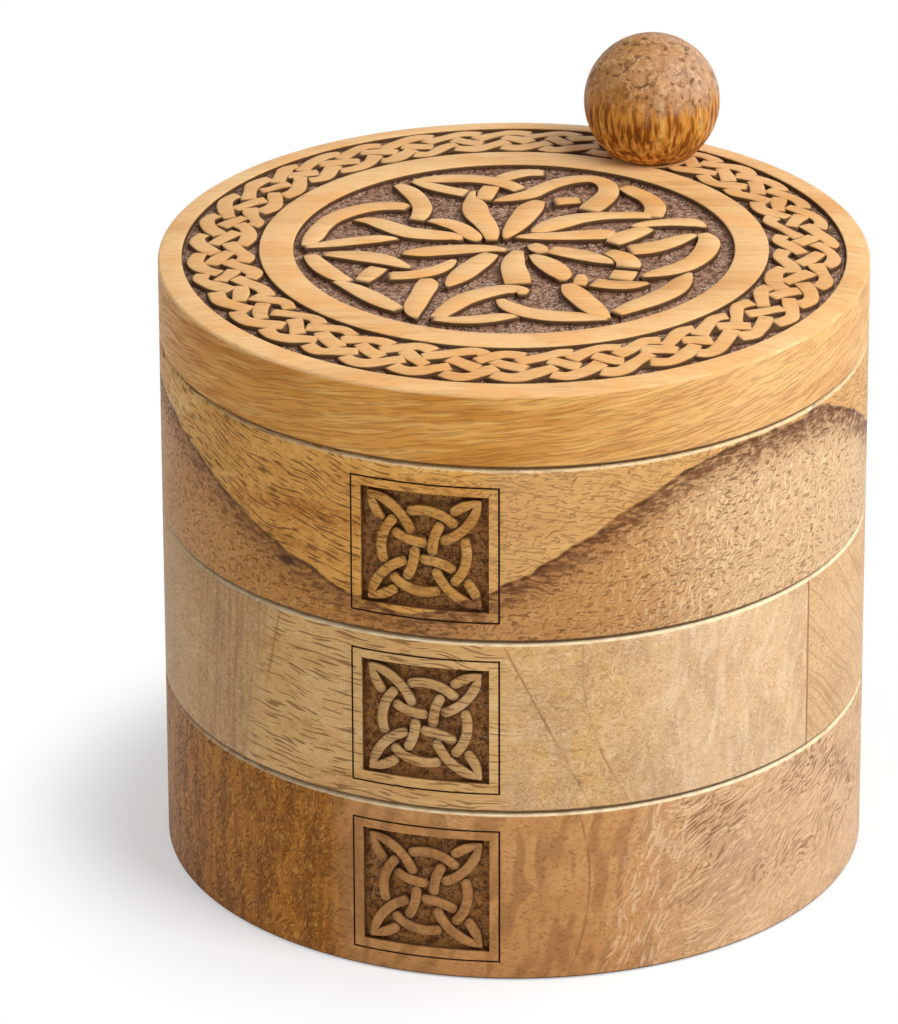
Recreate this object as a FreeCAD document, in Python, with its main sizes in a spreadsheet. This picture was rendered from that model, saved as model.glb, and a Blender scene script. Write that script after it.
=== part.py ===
import FreeCAD, Part
import math
import os

import Sketcher

# Round swivel box: three turned trays stacked under a carved lid.
# All of them swing about one upright rod, which ends in a ball knob.
# Millimetres, +Z up, origin at the centre of the underside, carved panels facing -Y.

SIZES = [
    ("outer_radius", 63.5, "radius of the trays and the lid"),
    ("tray_height", 32.6, "height of each tray"),
    ("tray_wall", 9.0, "thickness of a tray's wall"),
    ("tray_edge_round", 1.0, "rounding of a tray's outer edges"),
    ("floor_thickness", 5.0, "thickness of the floor disc let in from below"),
    ("floor_ledge", 2.7, "how far the floor's rebate reaches behind the cavity"),
    ("floor_clearance", 0.15, "glue gap round the floor disc"),
    ("boss_wall", 1.8, "wood left round the nut's counterbore"),
    ("boss_skin", 0.3, "wood left between the boss and the outside"),
    ("boss_fillet", 5.0, "hollow rounding where the boss runs into the wall"),
    ("pivot_angle", 75.5, "direction of the pivot from +X, in degrees"),
    ("rod_radius", 3.0, "radius of the pivot rod"),
    ("rod_clearance", 0.05, "running clearance of the rod in the wood"),
    ("rod_chamfer", 0.5, "chamfer at both ends of the rod"),
    ("rod_protrusion", 0.4, "rod showing below the nut"),
    ("rod_end_gap", 2.0, "insert left empty above the rod"),
    ("nut_recess", 0.6, "height of the rod's lower end above the underside"),
    ("nut_width", 10.0, "nut across flats"),
    ("nut_thickness", 3.0, "height of the thin nut"),
    ("nut_clearance", 0.05, "thread clearance of the nut and the insert on the rod"),
    ("washer_radius", 6.0, "radius of the washer above the nut"),
    ("washer_thickness", 1.0, "thickness of that washer"),
    ("washer_clearance", 0.5, "gap round the washer in its counterbore"),
    ("spacer_radius", 7.0, "radius of the fibre spacers on the rod"),
    ("spacer_thickness", 0.4, "thickness of a spacer, the gap between tiers"),
    ("spacer_clearance", 0.2, "gap between a spacer or washer and the rod"),
    ("panel_width", 23.4, "width of a carved panel's recess along the wall"),
    ("panel_margin", 5.15, "plain wood above and below that recess"),
    ("panel_depth", 1.5, "depth of that recess"),
    ("lid_thickness", 15.0, "thickness of the lid"),
    ("lid_top_round", 1.8, "rounding of the lid's top edge"),
    ("lid_bottom_round", 1.0, "rounding of the lid's bottom edge"),
    ("rim_width", 4.7, "plain rim outside the carved border"),
    ("border_width", 13.0, "width of the carved border's channel"),
    ("border_depth", 1.1, "depth of that channel"),
    ("ring_width", 7.3, "plain ring between the border and the rosette"),
    ("rosette_depth", 1.4, "depth of the rosette's round ground"),
    ("carving_drop", 0.1, "how far the carved bands stay below the lid's top"),
    ("plait_margin", 1.1, "groove left on both sides of the border's plait"),
    ("plait_slot", 0.9, "width of the cuts between the plait's loops"),
    ("plait_slot_depth", 0.7, "depth of those cuts"),
    ("plait_lean", 10.0, "turn of such a cut from its inner to its outer end, in degrees"),
    ("knob_seat_radius", 7.9, "radius of the knob's flat and of its seat"),
    ("ball_radius", 12.45, "radius of the ball knob"),
    ("insert_radius", 4.5, "radius of the knob's threaded insert"),
    ("insert_length", 12.0, "length of that insert"),
    ("insert_clearance", 0.05, "glue gap round that insert"),
]
CUT_OVERRUN = 1.0
EDGE_TOLERANCE = 0.01
TIERS = ("lower", "middle", "upper")
PLAIT_LOOPS = 38

# Main bands of the lid's rosette: x, y and width along each, for the radius given first
ROSETTE_BASIS = 38.5
ROSETTE_BANDS = [
    [(-4.1, 35.5, 2.8), (-7.5, 34.2, 3.3), (-10.1, 31.5, 3.1)],
    [(-25.3, 26.1, 1.1), (-19.1, 28.8, 3.5), (-12.4, 29.6, 3.3), (-6.2, 27.1, 3.1)],
    [(-22.9, 24.7, 2.5), (-19.2, 23.5, 3.2), (-15.3, 22.7, 3.3)],
    [(-13.7, 23.6, 1.1), (-11.5, 16.4, 4.7), (-8, 9.8, 4.3), (-4.9, 3, 2.4)],
    [(-1, 22.1, 2.6), (-1.8, 16.2, 4.9), (-2.2, 10.2, 4.2), (-2.6, 4.3, 1.3)],
    [(-8.6, 20.7, 1.2), (-3.1, 25.7, 3.8), (0.5, 32.2, 3.6), (7.1, 34.6, 3.3), (10.2, 28.1, 4.3), (8.8, 20.8, 4.5)],
    [(12.4, 32.6, 2.7), (16.5, 29.5, 3.9), (19.6, 25.5, 4.1), (20.5, 20.5, 4)],
    [(18.1, 20.1, 3), (11.4, 18, 3.5), (5.8, 13.9, 5), (1.6, 8.3, 1.7)],
    [(20.1, 16.3, 2.4), (25.2, 18.6, 3.2), (30.5, 18.1, 1.4)],
    [(21, 14.4, 2.8), (18.9, 11.3, 4.4), (17.2, 8.1, 4.1)],
    [(-0.4, 5, 1.3), (4.6, 6.5, 3.3), (9.6, 8.3, 4.2), (14.5, 10.1, 4.1)],
    [(20.8, 4.2, 4.5), (25.6, 8, 4.4), (29.3, 12.9, 2.2)],
    [(31.3, 14.4, 2.5), (33.2, 10, 4.4), (33.3, 5.2, 4.4), (32.1, 0.5, 4.5), (29.3, -3.5, 4), (25.7, -6.8, 1.7)],
    [(7, 0.5, 3.5), (12.8, -0.6, 4.3), (18.3, -2.4, 1.5)],
    [(4.2, -2.9, 1.8), (8.7, -6.9, 4.8), (11.9, -12, 2.1)],
    [(18, -12.1, 3.8), (22.5, -12.2, 3.7), (26.6, -10.3, 1.5)],
    [(13.4, -14.3, 2.5), (15.9, -17.9, 4.7), (18.7, -21.5, 4.7), (21.6, -25, 3.8)],
    [(33.1, -4, 1.2), (32.1, -11.3, 4.6), (29, -17.9, 4.6), (25.1, -24, 3)],
    [(3.7, -23.9, 1.9), (9.3, -28.1, 4.3), (16.3, -28.4, 4.4), (23.4, -27.7, 1.2)],
    [(6.7, -20, 1.9), (1.3, -20.4, 4.2), (-2.8, -25.8, 4.5), (-4.7, -32.4, 3.3)],
    [(-5, -34.9, 1.9), (1.7, -33.4, 3.5), (8, -30.4, 1.4)],
    [(1.2, -1.7, 2.1), (2.1, -8.7, 4.5), (4.6, -15.4, 4.9)],
    [(-3.3, -4.6, 3.3), (-4.7, -9.6, 4.7), (-5.8, -14.6, 4.6), (-6.9, -19.7, 1.5)],
    [(-1.5, -1.6, 1.7), (-7.2, -2.6, 3.9), (-12.7, -4.8, 4.3), (-18.1, -7.3, 2)],
    [(-9, -8.7, 1.6), (-11.7, -14.8, 3.6), (-17.6, -18.1, 3.5)],
    [(-11.4, -18.3, 2.7), (-10.5, -23.8, 4.2), (-10.2, -29.6, 4.1), (-8.7, -35, 1.3)],
    [(-34.1, -12.6, 2.7), (-30, -18, 4), (-24.6, -21.9, 2)],
    [(-25.3, -23.6, 2.1), (-21.1, -26.2, 4), (-17.1, -29.3, 4.1), (-12.9, -32.1, 2.9)],
    [(-31.5, -11.3, 1.8), (-26.1, -10.7, 4.3), (-20.7, -11.3, 4.2), (-15.8, -13.5, 1.3)],
    [(-35.9, -5.9, 3.2), (-35.8, -0.7, 3.7), (-35.1, 4.4, 3.9), (-32.7, 8.9, 4), (-28.9, 12.4, 3.8), (-23.9, 13.5, 3)],
    [(-35.5, -8.6, 1.6), (-31, -5.9, 3.2), (-26.5, -3.2, 3.4), (-21.7, -1.3, 1.3)],
    [(-30.5, 5.4, 1.2), (-23.9, 3.9, 4.4), (-17.3, 1.9, 4.5), (-10.5, 1.5, 1.8)],
    [(-17.5, 8.3, 1.6), (-11.6, 6.5, 3.7), (-7.4, 1.8, 2)],
    [(-27.6, 23.3, 2.1), (-23.6, 19.3, 3.7), (-20.8, 14.4, 3.7), (-20.2, 8.8, 3.1)],
]

# Lengths worked out from the sheet
CAVITY_RADIUS = "(Sizes.outer_radius - Sizes.tray_wall)"
REBATE_RADIUS = f"({CAVITY_RADIUS} + Sizes.floor_ledge)"
COUNTERBORE_RADIUS = "(Sizes.washer_radius + Sizes.washer_clearance)"
COUNTERBORE_DEPTH = "(Sizes.nut_recess + Sizes.rod_protrusion + Sizes.nut_thickness + Sizes.washer_thickness)"
COLUMN_RADIUS = f"({COUNTERBORE_RADIUS} + Sizes.boss_wall)"
BOSS_RADIUS = f"({COLUMN_RADIUS} + Sizes.floor_ledge)"
PIVOT_RADIUS = f"(Sizes.outer_radius - Sizes.boss_skin - {BOSS_RADIUS})"
PIVOT_X = f"{PIVOT_RADIUS} * cos(Sizes.pivot_angle)"
PIVOT_Y = f"{PIVOT_RADIUS} * sin(Sizes.pivot_angle)"
BORE_RADIUS = "Sizes.rod_radius + Sizes.rod_clearance"
TIER_PITCH = "(Sizes.tray_height + Sizes.spacer_thickness)"
LID_LEVEL = f"({len(TIERS)} * {TIER_PITCH})"
LID_TOP = f"({LID_LEVEL} + Sizes.lid_thickness)"
KNOB_LEVEL = f"({LID_TOP} + Sizes.spacer_thickness)"
BORDER_OUTER = "(Sizes.outer_radius - Sizes.rim_width)"
BORDER_INNER = f"({BORDER_OUTER} - Sizes.border_width)"
ROSETTE_RADIUS = f"({BORDER_INNER} - Sizes.ring_width)"
BALL_FLAT = "sqrt(Sizes.ball_radius ^ 2 - Sizes.knob_seat_radius ^ 2)"

doc = FreeCAD.newDocument("swivel_box")
sheet = doc.addObject("Spreadsheet::Sheet", "Sizes")
for row, (alias, number, note) in enumerate(SIZES, start=1):
    sheet.set(f"A{row}", note)
    sheet.set(f"B{row}", str(number))
    sheet.setAlias(f"B{row}", alias)
doc.recompute()


def place(piece, x="0", y="0", z="0"):
    for axis, formula in zip("xyz", (x, y, z)):
        piece.setExpression(f"Placement.Base.{axis}", formula)


def new_body(label, x="0", y="0", z="0"):
    body = doc.addObject("PartDesign::Body", label)
    body.Label = label
    place(body, x, y, z)
    return body


def origin_plane(body, role):
    return next(plane for plane in body.Origin.OriginFeatures if plane.Role == role)


def new_sketch(body, name, role="XY_Plane"):
    sketch = body.newObject("Sketcher::SketchObject", name)
    sketch.AttachmentSupport = (origin_plane(body, role), [""])
    sketch.MapMode = "FlatFace"
    return sketch


def circles(body, name, *radii, x="0", y="0", z="0"):
    """Level sketch of concentric circles about (x, y) at height z of the body."""
    sketch = new_sketch(body, name)
    for axis, formula in zip("xyz", (x, y, z)):
        sketch.setExpression(f"AttachmentOffset.Base.{axis}", formula)
    centre = FreeCAD.Vector(0, 0, 0)
    for count, radius in enumerate(radii, start=1):
        curve = sketch.addGeometry(Part.Circle(centre, FreeCAD.Vector(0, 0, 1), count))
        sketch.addConstraint(Sketcher.Constraint("Coincident", curve, 3, -1, 1))
        size = sketch.addConstraint(Sketcher.Constraint("Radius", curve, float(count)))
        sketch.setExpression(f"Constraints[{size}]", radius)
    return sketch


def pad(body, name, sketch, length):
    feature = body.newObject("PartDesign::Pad", name)
    feature.Profile = sketch
    feature.setExpression("Length", length)
    doc.recompute()
    return feature


def pocket(body, name, sketch, depth, upward=False):
    before = body.Shape.Volume
    feature = body.newObject("PartDesign::Pocket", name)
    feature.Profile = sketch
    feature.Reversed = upward
    feature.setExpression("Length", depth)
    doc.recompute()
    if body.Shape.Volume >= before:
        raise RuntimeError(f"{body.Label}: {name} cuts nothing")
    return feature


def edge_names(shape, wanted):
    return [f"Edge{count}" for count, edge in enumerate(shape.Edges, start=1) if wanted(edge)]


def circle_at(height, radius):
    """Test for a level round edge of that radius at that height."""
    def wanted(edge):
        if not isinstance(edge.Curve, Part.Circle):
            return False
        level = abs(edge.BoundBox.ZMin - height) + abs(edge.BoundBox.ZMax - height)
        return level < EDGE_TOLERANCE and abs(edge.Curve.Radius - radius) < EDGE_TOLERANCE
    return wanted


def upright_at(distance):
    """Test for a straight upright edge at that distance from the body's axis."""
    def wanted(edge):
        box = edge.BoundBox
        if box.XLength + box.YLength > EDGE_TOLERANCE:
            return False
        return abs((box.XMin ** 2 + box.YMin ** 2) ** 0.5 - distance) < EDGE_TOLERANCE
    return wanted


def round_edges(body, name, kind, size_name, size, *tests):
    """Fillet or chamfer the edges of the body's last feature that pass one of the tests."""
    last = body.Tip
    names = [edge for test in tests for edge in edge_names(last.Shape, test)]
    feature = body.newObject(f"PartDesign::{kind}", name)
    feature.Base = (last, names)
    feature.setExpression(size_name, size)
    doc.recompute()
    return feature


def ring(label, outer, inner, height, z):
    """Flat ring or bush on the pivot."""
    body = new_body(label, PIVOT_X, PIVOT_Y, z)
    pad(body, f"{label}_pad", circles(body, f"{label}_outline", outer, inner), height)
    return body


def panel_recess(body, label):
    """Square recess for the carved knot, sunk to an even depth in the round wall."""
    before = body.Shape.Volume
    sketch = new_sketch(body, f"{label}_panel_outline", "YZ_Plane")
    corners = [FreeCAD.Vector(-y, z, 0) for y, z in ((2, 1), (1, 1), (1, 2), (2, 2))]
    for start, end in zip(corners, corners[1:] + corners[:1]):
        sketch.addGeometry(Part.LineSegment(start, end))
    for line in range(4):
        sketch.addConstraint(Sketcher.Constraint("Coincident", line, 2, (line + 1) % 4, 1))
        direction = "Vertical" if line % 2 else "Horizontal"
        sketch.addConstraint(Sketcher.Constraint(direction, line))
    outside = f"Sizes.outer_radius + {CUT_OVERRUN}"
    ground = "Sizes.outer_radius - Sizes.panel_depth"
    top = "Sizes.tray_height - Sizes.panel_margin"
    for formula, ends in (
        (outside, ("DistanceX", 0, 1, -1, 1)),
        (ground, ("DistanceX", 2, 1, -1, 1)),
        ("Sizes.panel_margin", ("DistanceY", -1, 1, 0, 1)),
        (top, ("DistanceY", -1, 1, 2, 1)),
    ):
        size = sketch.addConstraint(Sketcher.Constraint(*ends, 1.0))
        sketch.setExpression(f"Constraints[{size}]", formula)
    groove = body.newObject("PartDesign::Groove", f"{label}_panel")
    groove.Profile = sketch
    groove.ReferenceAxis = (sketch, ["V_Axis"])
    groove.Midplane = True
    groove.setExpression("Angle", "Sizes.panel_width / Sizes.outer_radius * 180 / pi")
    doc.recompute()
    if body.Shape.Volume >= before:
        raise RuntimeError(f"{label}: the panel cuts nothing")


def tray_wall(label, z, holds_nut):
    """Turned ring with an inner boss for the rod, a rebate for the floor and a panel recess."""
    body = new_body(label, z=z)
    height = "Sizes.tray_height"
    pad(body, f"{label}_blank", circles(body, f"{label}_round", "Sizes.outer_radius"), height)
    edges = (circle_at(0, sheet.outer_radius), circle_at(sheet.tray_height, sheet.outer_radius))
    round_edges(body, f"{label}_edges", "Fillet", "Radius", "Sizes.tray_edge_round", *edges)
    pocket(body, f"{label}_cavity", circles(body, f"{label}_inside", CAVITY_RADIUS, z=height), height)
    boss = circles(body, f"{label}_boss_round", BOSS_RADIUS, x=PIVOT_X, y=PIVOT_Y)
    pad(body, f"{label}_boss", boss, height)
    corner = upright_at(sheet.outer_radius - sheet.tray_wall)
    round_edges(body, f"{label}_boss_fillet", "Fillet", "Radius", "Sizes.boss_fillet", corner)
    floor = "Sizes.floor_thickness"
    pocket(body, f"{label}_rebate", circles(body, f"{label}_rebate_round", REBATE_RADIUS), floor, True)
    column = circles(body, f"{label}_column_round", COLUMN_RADIUS, x=PIVOT_X, y=PIVOT_Y)
    pad(body, f"{label}_column", column, floor)
    bore = circles(body, f"{label}_bore_round", BORE_RADIUS, x=PIVOT_X, y=PIVOT_Y)
    pocket(body, f"{label}_bore", bore, height, True)
    if holds_nut:
        seat = circles(body, f"{label}_nut_round", COUNTERBORE_RADIUS, x=PIVOT_X, y=PIVOT_Y)
        pocket(body, f"{label}_counterbore", seat, COUNTERBORE_DEPTH, True)
    panel_recess(body, label)
    return body


def tray_floor(label, z):
    """Floor disc, bitten out round the boss column."""
    body = new_body(label, z=z)
    edge = f"{REBATE_RADIUS} - Sizes.floor_clearance"
    pad(body, f"{label}_disc", circles(body, f"{label}_round", edge), "Sizes.floor_thickness")
    bite = f"{COLUMN_RADIUS} + Sizes.floor_clearance"
    outline = circles(body, f"{label}_bite_round", bite, x=PIVOT_X, y=PIVOT_Y)
    pocket(body, f"{label}_bite", outline, "Sizes.floor_thickness", True)
    return body


def straight_band(sketch, rows, scale=1.0):
    """Closed outline of a straight-sided band, half its width to each side of its rows."""
    points = [FreeCAD.Vector(x, y, 0) * scale for x, y, width in rows]
    left, right = [], []
    for count, (x, y, width) in enumerate(rows):
        along = points[min(count + 1, len(rows) - 1)] - points[max(count - 1, 0)]
        aside = FreeCAD.Vector(-along.y, along.x, 0).normalize() * (width * scale / 2)
        left.append(points[count] + aside)
        right.append(points[count] - aside)
    corners = left + right[::-1]
    for start, end in zip(corners, corners[1:] + corners[:1]):
        sketch.addGeometry(Part.LineSegment(start, end))


def rosette_bands(body, label):
    """The rosette's main bands, left standing on its sunk ground."""
    sketch = new_sketch(body, f"{label}_bands")
    sketch.setExpression("AttachmentOffset.Base.z", "Sizes.lid_thickness - Sizes.rosette_depth")
    radius = sheet.outer_radius - sheet.rim_width - sheet.border_width - sheet.ring_width
    for rows in ROSETTE_BANDS:
        straight_band(sketch, rows, radius / ROSETTE_BASIS)
    pad(body, f"{label}_rosette_bands", sketch, "Sizes.rosette_depth - Sizes.carving_drop")


def border_plait(body, label):
    """The border's plait as one raised ring, with a slanted cut between its loops."""
    outer = f"{BORDER_OUTER} - Sizes.plait_margin"
    inner = f"{BORDER_INNER} + Sizes.plait_margin"
    ground = "Sizes.lid_thickness - Sizes.border_depth"
    rounds = circles(body, f"{label}_plait_rounds", outer, inner, z=ground)
    pad(body, f"{label}_plait", rounds, "Sizes.border_depth - Sizes.carving_drop")
    sketch = new_sketch(body, f"{label}_plait_cut")
    sketch.setExpression("AttachmentOffset.Base.z", "Sizes.lid_thickness - Sizes.carving_drop")
    far = sheet.outer_radius - sheet.rim_width - sheet.plait_margin / 2
    near = far - sheet.border_width + sheet.plait_margin
    turn = math.radians(sheet.plait_lean)
    ends = [(near, 0.0, sheet.plait_slot), (far * math.cos(turn), far * math.sin(turn), sheet.plait_slot)]
    straight_band(sketch, ends)
    cut = pocket(body, f"{label}_plait_slot", sketch, "Sizes.plait_slot_depth")
    pattern = body.newObject("PartDesign::PolarPattern", f"{label}_plait_slots")
    pattern.Originals = [cut]
    pattern.Axis = (origin_plane(body, "Z_Axis"), [""])
    pattern.Angle = 360
    pattern.Occurrences = PLAIT_LOOPS
    doc.recompute()


def carved_lid(label):
    """Disc with its rosette, a border channel with its plait and a seat for the knob."""
    body = new_body(label, z=LID_LEVEL)
    height = "Sizes.lid_thickness"
    pad(body, f"{label}_blank", circles(body, f"{label}_round", "Sizes.outer_radius"), height)
    top = circle_at(sheet.lid_thickness, sheet.outer_radius)
    round_edges(body, f"{label}_top_edge", "Fillet", "Radius", "Sizes.lid_top_round", top)
    bottom = circle_at(0, sheet.outer_radius)
    round_edges(body, f"{label}_bottom_edge", "Fillet", "Radius", "Sizes.lid_bottom_round", bottom)
    rosette = circles(body, f"{label}_rosette_round", ROSETTE_RADIUS, z=height)
    pocket(body, f"{label}_rosette", rosette, "Sizes.rosette_depth")
    channel = circles(body, f"{label}_border_rounds", BORDER_OUTER, BORDER_INNER, z=height)
    pocket(body, f"{label}_border", channel, "Sizes.border_depth")
    rosette_bands(body, label)
    border_plait(body, label)
    island = circles(body, f"{label}_seat_round", "Sizes.knob_seat_radius", x=PIVOT_X, y=PIVOT_Y)
    pad(body, f"{label}_seat", island, height)
    bore = circles(body, f"{label}_bore_round", BORE_RADIUS, x=PIVOT_X, y=PIVOT_Y)
    pocket(body, f"{label}_bore", bore, height, True)
    return body


def pivot_rod(label):
    """Steel rod from the nut under the lower tray up into the knob's insert."""
    body = new_body(label, PIVOT_X, PIVOT_Y, "Sizes.nut_recess")
    length = f"{KNOB_LEVEL} + Sizes.insert_length - Sizes.rod_end_gap - Sizes.nut_recess"
    stem = pad(body, f"{label}_pad", circles(body, f"{label}_round", "Sizes.rod_radius"), length)
    ends = (circle_at(0, sheet.rod_radius), circle_at(stem.Length.Value, sheet.rod_radius))
    round_edges(body, f"{label}_ends", "Chamfer", "Size", "Sizes.rod_chamfer", *ends)
    return body


def hexagon_nut(label):
    """Thin nut with its threaded hole left plain."""
    blank = doc.addObject("Part::Prism", f"{label}_blank")
    blank.Polygon = 6
    blank.setExpression("Circumradius", "Sizes.nut_width / 2 / cos(30)")
    blank.setExpression("Height", "Sizes.nut_thickness")
    hole = doc.addObject("Part::Cylinder", f"{label}_hole")
    hole.setExpression("Radius", "Sizes.rod_radius + Sizes.nut_clearance")
    hole.setExpression("Height", "Sizes.nut_thickness")
    nut = doc.addObject("Part::Cut", label)
    nut.Base = blank
    nut.Tool = hole
    nut.Label = label
    place(nut, PIVOT_X, PIVOT_Y, "Sizes.nut_recess + Sizes.rod_protrusion")
    return nut


def ball_knob(label):
    """Turned ball, cut flat below and bored for its insert."""
    ball = doc.addObject("Part::Sphere", f"{label}_ball")
    ball.setExpression("Radius", "Sizes.ball_radius")
    ball.setExpression("Angle1", "-acos(Sizes.knob_seat_radius / Sizes.ball_radius)")
    place(ball, z=BALL_FLAT)
    bore = doc.addObject("Part::Cylinder", f"{label}_bore")
    bore.setExpression("Radius", "Sizes.insert_radius + Sizes.insert_clearance")
    bore.setExpression("Height", "Sizes.insert_length")
    knob = doc.addObject("Part::Cut", label)
    knob.Base = ball
    knob.Tool = bore
    knob.Label = label
    place(knob, PIVOT_X, PIVOT_Y, KNOB_LEVEL)
    return knob


# The pieces, from the underside up
pieces = []
washer_hole = "Sizes.rod_radius + Sizes.spacer_clearance"
for level, tier in enumerate(TIERS):
    base = f"{level} * {TIER_PITCH}"
    pieces.append(tray_wall(f"{tier}_tray_wall", base, holds_nut=level == 0))
    pieces.append(tray_floor(f"{tier}_tray_floor", base))
    above = f"{base} + Sizes.tray_height"
    spacer = ring(f"{tier}_spacer", "Sizes.spacer_radius", washer_hole, "Sizes.spacer_thickness", above)
    pieces.append(spacer)
pieces.append(carved_lid("lid"))
pieces.append(ring("knob_spacer", "Sizes.spacer_radius", washer_hole, "Sizes.spacer_thickness", LID_TOP))
pieces.append(pivot_rod("pivot_rod"))
washer_level = "Sizes.nut_recess + Sizes.rod_protrusion + Sizes.nut_thickness"
pieces.append(ring("base_washer", "Sizes.washer_radius", washer_hole, "Sizes.washer_thickness", washer_level))
pieces.append(hexagon_nut("base_nut"))
thread_hole = "Sizes.rod_radius + Sizes.nut_clearance"
pieces.append(ring("knob_insert", "Sizes.insert_radius", thread_hole, "Sizes.insert_length", KNOB_LEVEL))
pieces.append(ball_knob("ball_knob"))
doc.recompute()

# Every object sound and every piece one valid solid before anything is written
for thing in doc.Objects:
    if "Invalid" in thing.State or "Error" in thing.State:
        raise RuntimeError(f"{thing.Label} failed: {thing.State}")
for piece in pieces:
    shape = piece.Shape
    if shape.isNull() or not shape.isValid() or len(shape.Solids) != 1:
        raise RuntimeError(f"{piece.Label} is not one valid solid")
os.makedirs("parts", exist_ok=True)
for piece in pieces:
    piece.Shape.exportStep(f"parts/{piece.Label}.step")
    print(f"{piece.Label}: {piece.Shape.Volume:.1f} mm3")
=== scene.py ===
import math

import bmesh
import bpy
import numpy as np
from mathutils import Matrix, Vector, noise


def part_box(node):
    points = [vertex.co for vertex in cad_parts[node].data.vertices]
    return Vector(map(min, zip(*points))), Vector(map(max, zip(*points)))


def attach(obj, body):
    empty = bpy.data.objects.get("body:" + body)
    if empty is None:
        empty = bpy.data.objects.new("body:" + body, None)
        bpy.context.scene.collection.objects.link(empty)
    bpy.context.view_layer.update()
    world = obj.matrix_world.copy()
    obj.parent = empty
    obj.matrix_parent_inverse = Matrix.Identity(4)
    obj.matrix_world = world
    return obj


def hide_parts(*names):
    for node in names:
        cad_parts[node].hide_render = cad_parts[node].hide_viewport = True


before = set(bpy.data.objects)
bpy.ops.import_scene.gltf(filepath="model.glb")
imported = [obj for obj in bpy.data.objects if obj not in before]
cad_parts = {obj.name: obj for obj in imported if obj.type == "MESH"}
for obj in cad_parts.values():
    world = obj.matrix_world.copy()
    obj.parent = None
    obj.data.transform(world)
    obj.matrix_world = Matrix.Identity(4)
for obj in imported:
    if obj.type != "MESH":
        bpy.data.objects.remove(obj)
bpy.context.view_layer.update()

# Sizes in millimetres, read from the frame where it has them
MM = 0.001
LID_LOW, LID_HIGH = (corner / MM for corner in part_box("lid"))
RADIUS = LID_HIGH.x
LID_TOP = LID_HIGH.z
TIERS = {}
for tier_name, tier_body in (("lower", "base"), ("middle", "middle_tray"), ("upper", "upper_tray")):
    wall_low, wall_high = (corner.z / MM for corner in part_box(tier_name + "_tray_wall"))
    TIERS[tier_name] = {
        "body": tier_body,
        "wall": tier_name + "_tray_wall",
        "floor": tier_name + "_tray_floor",
        "slot": tier_name + "_wood",
        "low": wall_low,
        "high": wall_high,
        "middle": (wall_low + wall_high) / 2,
    }
TRAY_HEIGHT = TIERS["lower"]["high"] - TIERS["lower"]["low"]
TURN = 2 * math.pi

# Lid carving
TOP_ROUND = 0.4
FOOT_ROUND = 0.4
DOME_START = 44.0
DOME_DROP = 1.4
BORDER_OUTER = 59.2
BORDER_INNER = 45.5
BORDER_DEPTH = 1.1
ROSETTE_RADIUS = 39.3
ROSETTE_DEPTH = 1.4
CARVED_ROUND = 0.22
CARVED_LEAN = 0.05
LID_CHIPS = 0.16
LID_STEPS = 600

# Tray walls, floors and the boss that the pivot rod goes through
CAVITY_RADIUS = 54.5
FLOOR_LEDGE = 2.7
FLOOR_THICKNESS = 5.0
FLOOR_CLEARANCE = 0.15
TRAY_ROUND = 1.0
BOSS_RADIUS = 11.0
BOSS_FILLET = 5.0
RIM_ROUND = 0.8
PIVOT_RADIUS = 52.2
PIVOT_ANGLE = math.radians(75.5)
PIVOT = Vector((PIVOT_RADIUS * math.cos(PIVOT_ANGLE), PIVOT_RADIUS * math.sin(PIVOT_ANGLE), 0.0))
NUT_POCKET_RADIUS = 6.5
NUT_POCKET_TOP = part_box("base_washer")[1].z / MM
WALL_STEPS = 480

# Panel on the front of each tray
LINE_HALF_WIDTH = 13.56
LINE_HALF_HEIGHT = 13.0
LINE_DEPTH = 0.3
POCKET_DEPTH = 1.5
PANEL_CHIPS = 0.22
FRONT_ANGLE = 0.36
GROUND_CUTS = 26
UPRIGHT_LENGTH = 5.0
CUT_DISTANCE = 0.001

# Distance in from the panel's edge, and depth there: the cut outline, the plain frame and the pocket
PANEL_STEPS = [
    (0.0, 0.0),
    (0.1, LINE_DEPTH),
    (0.28, LINE_DEPTH),
    (0.38, 0.0),
    (1.91, 0.0),
    (1.98, 0.16),
    (2.1, POCKET_DEPTH),
]

# Ball knob
BALL_RADIUS = 12.45
KNOB_SEAT_RADIUS = 7.9

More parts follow.
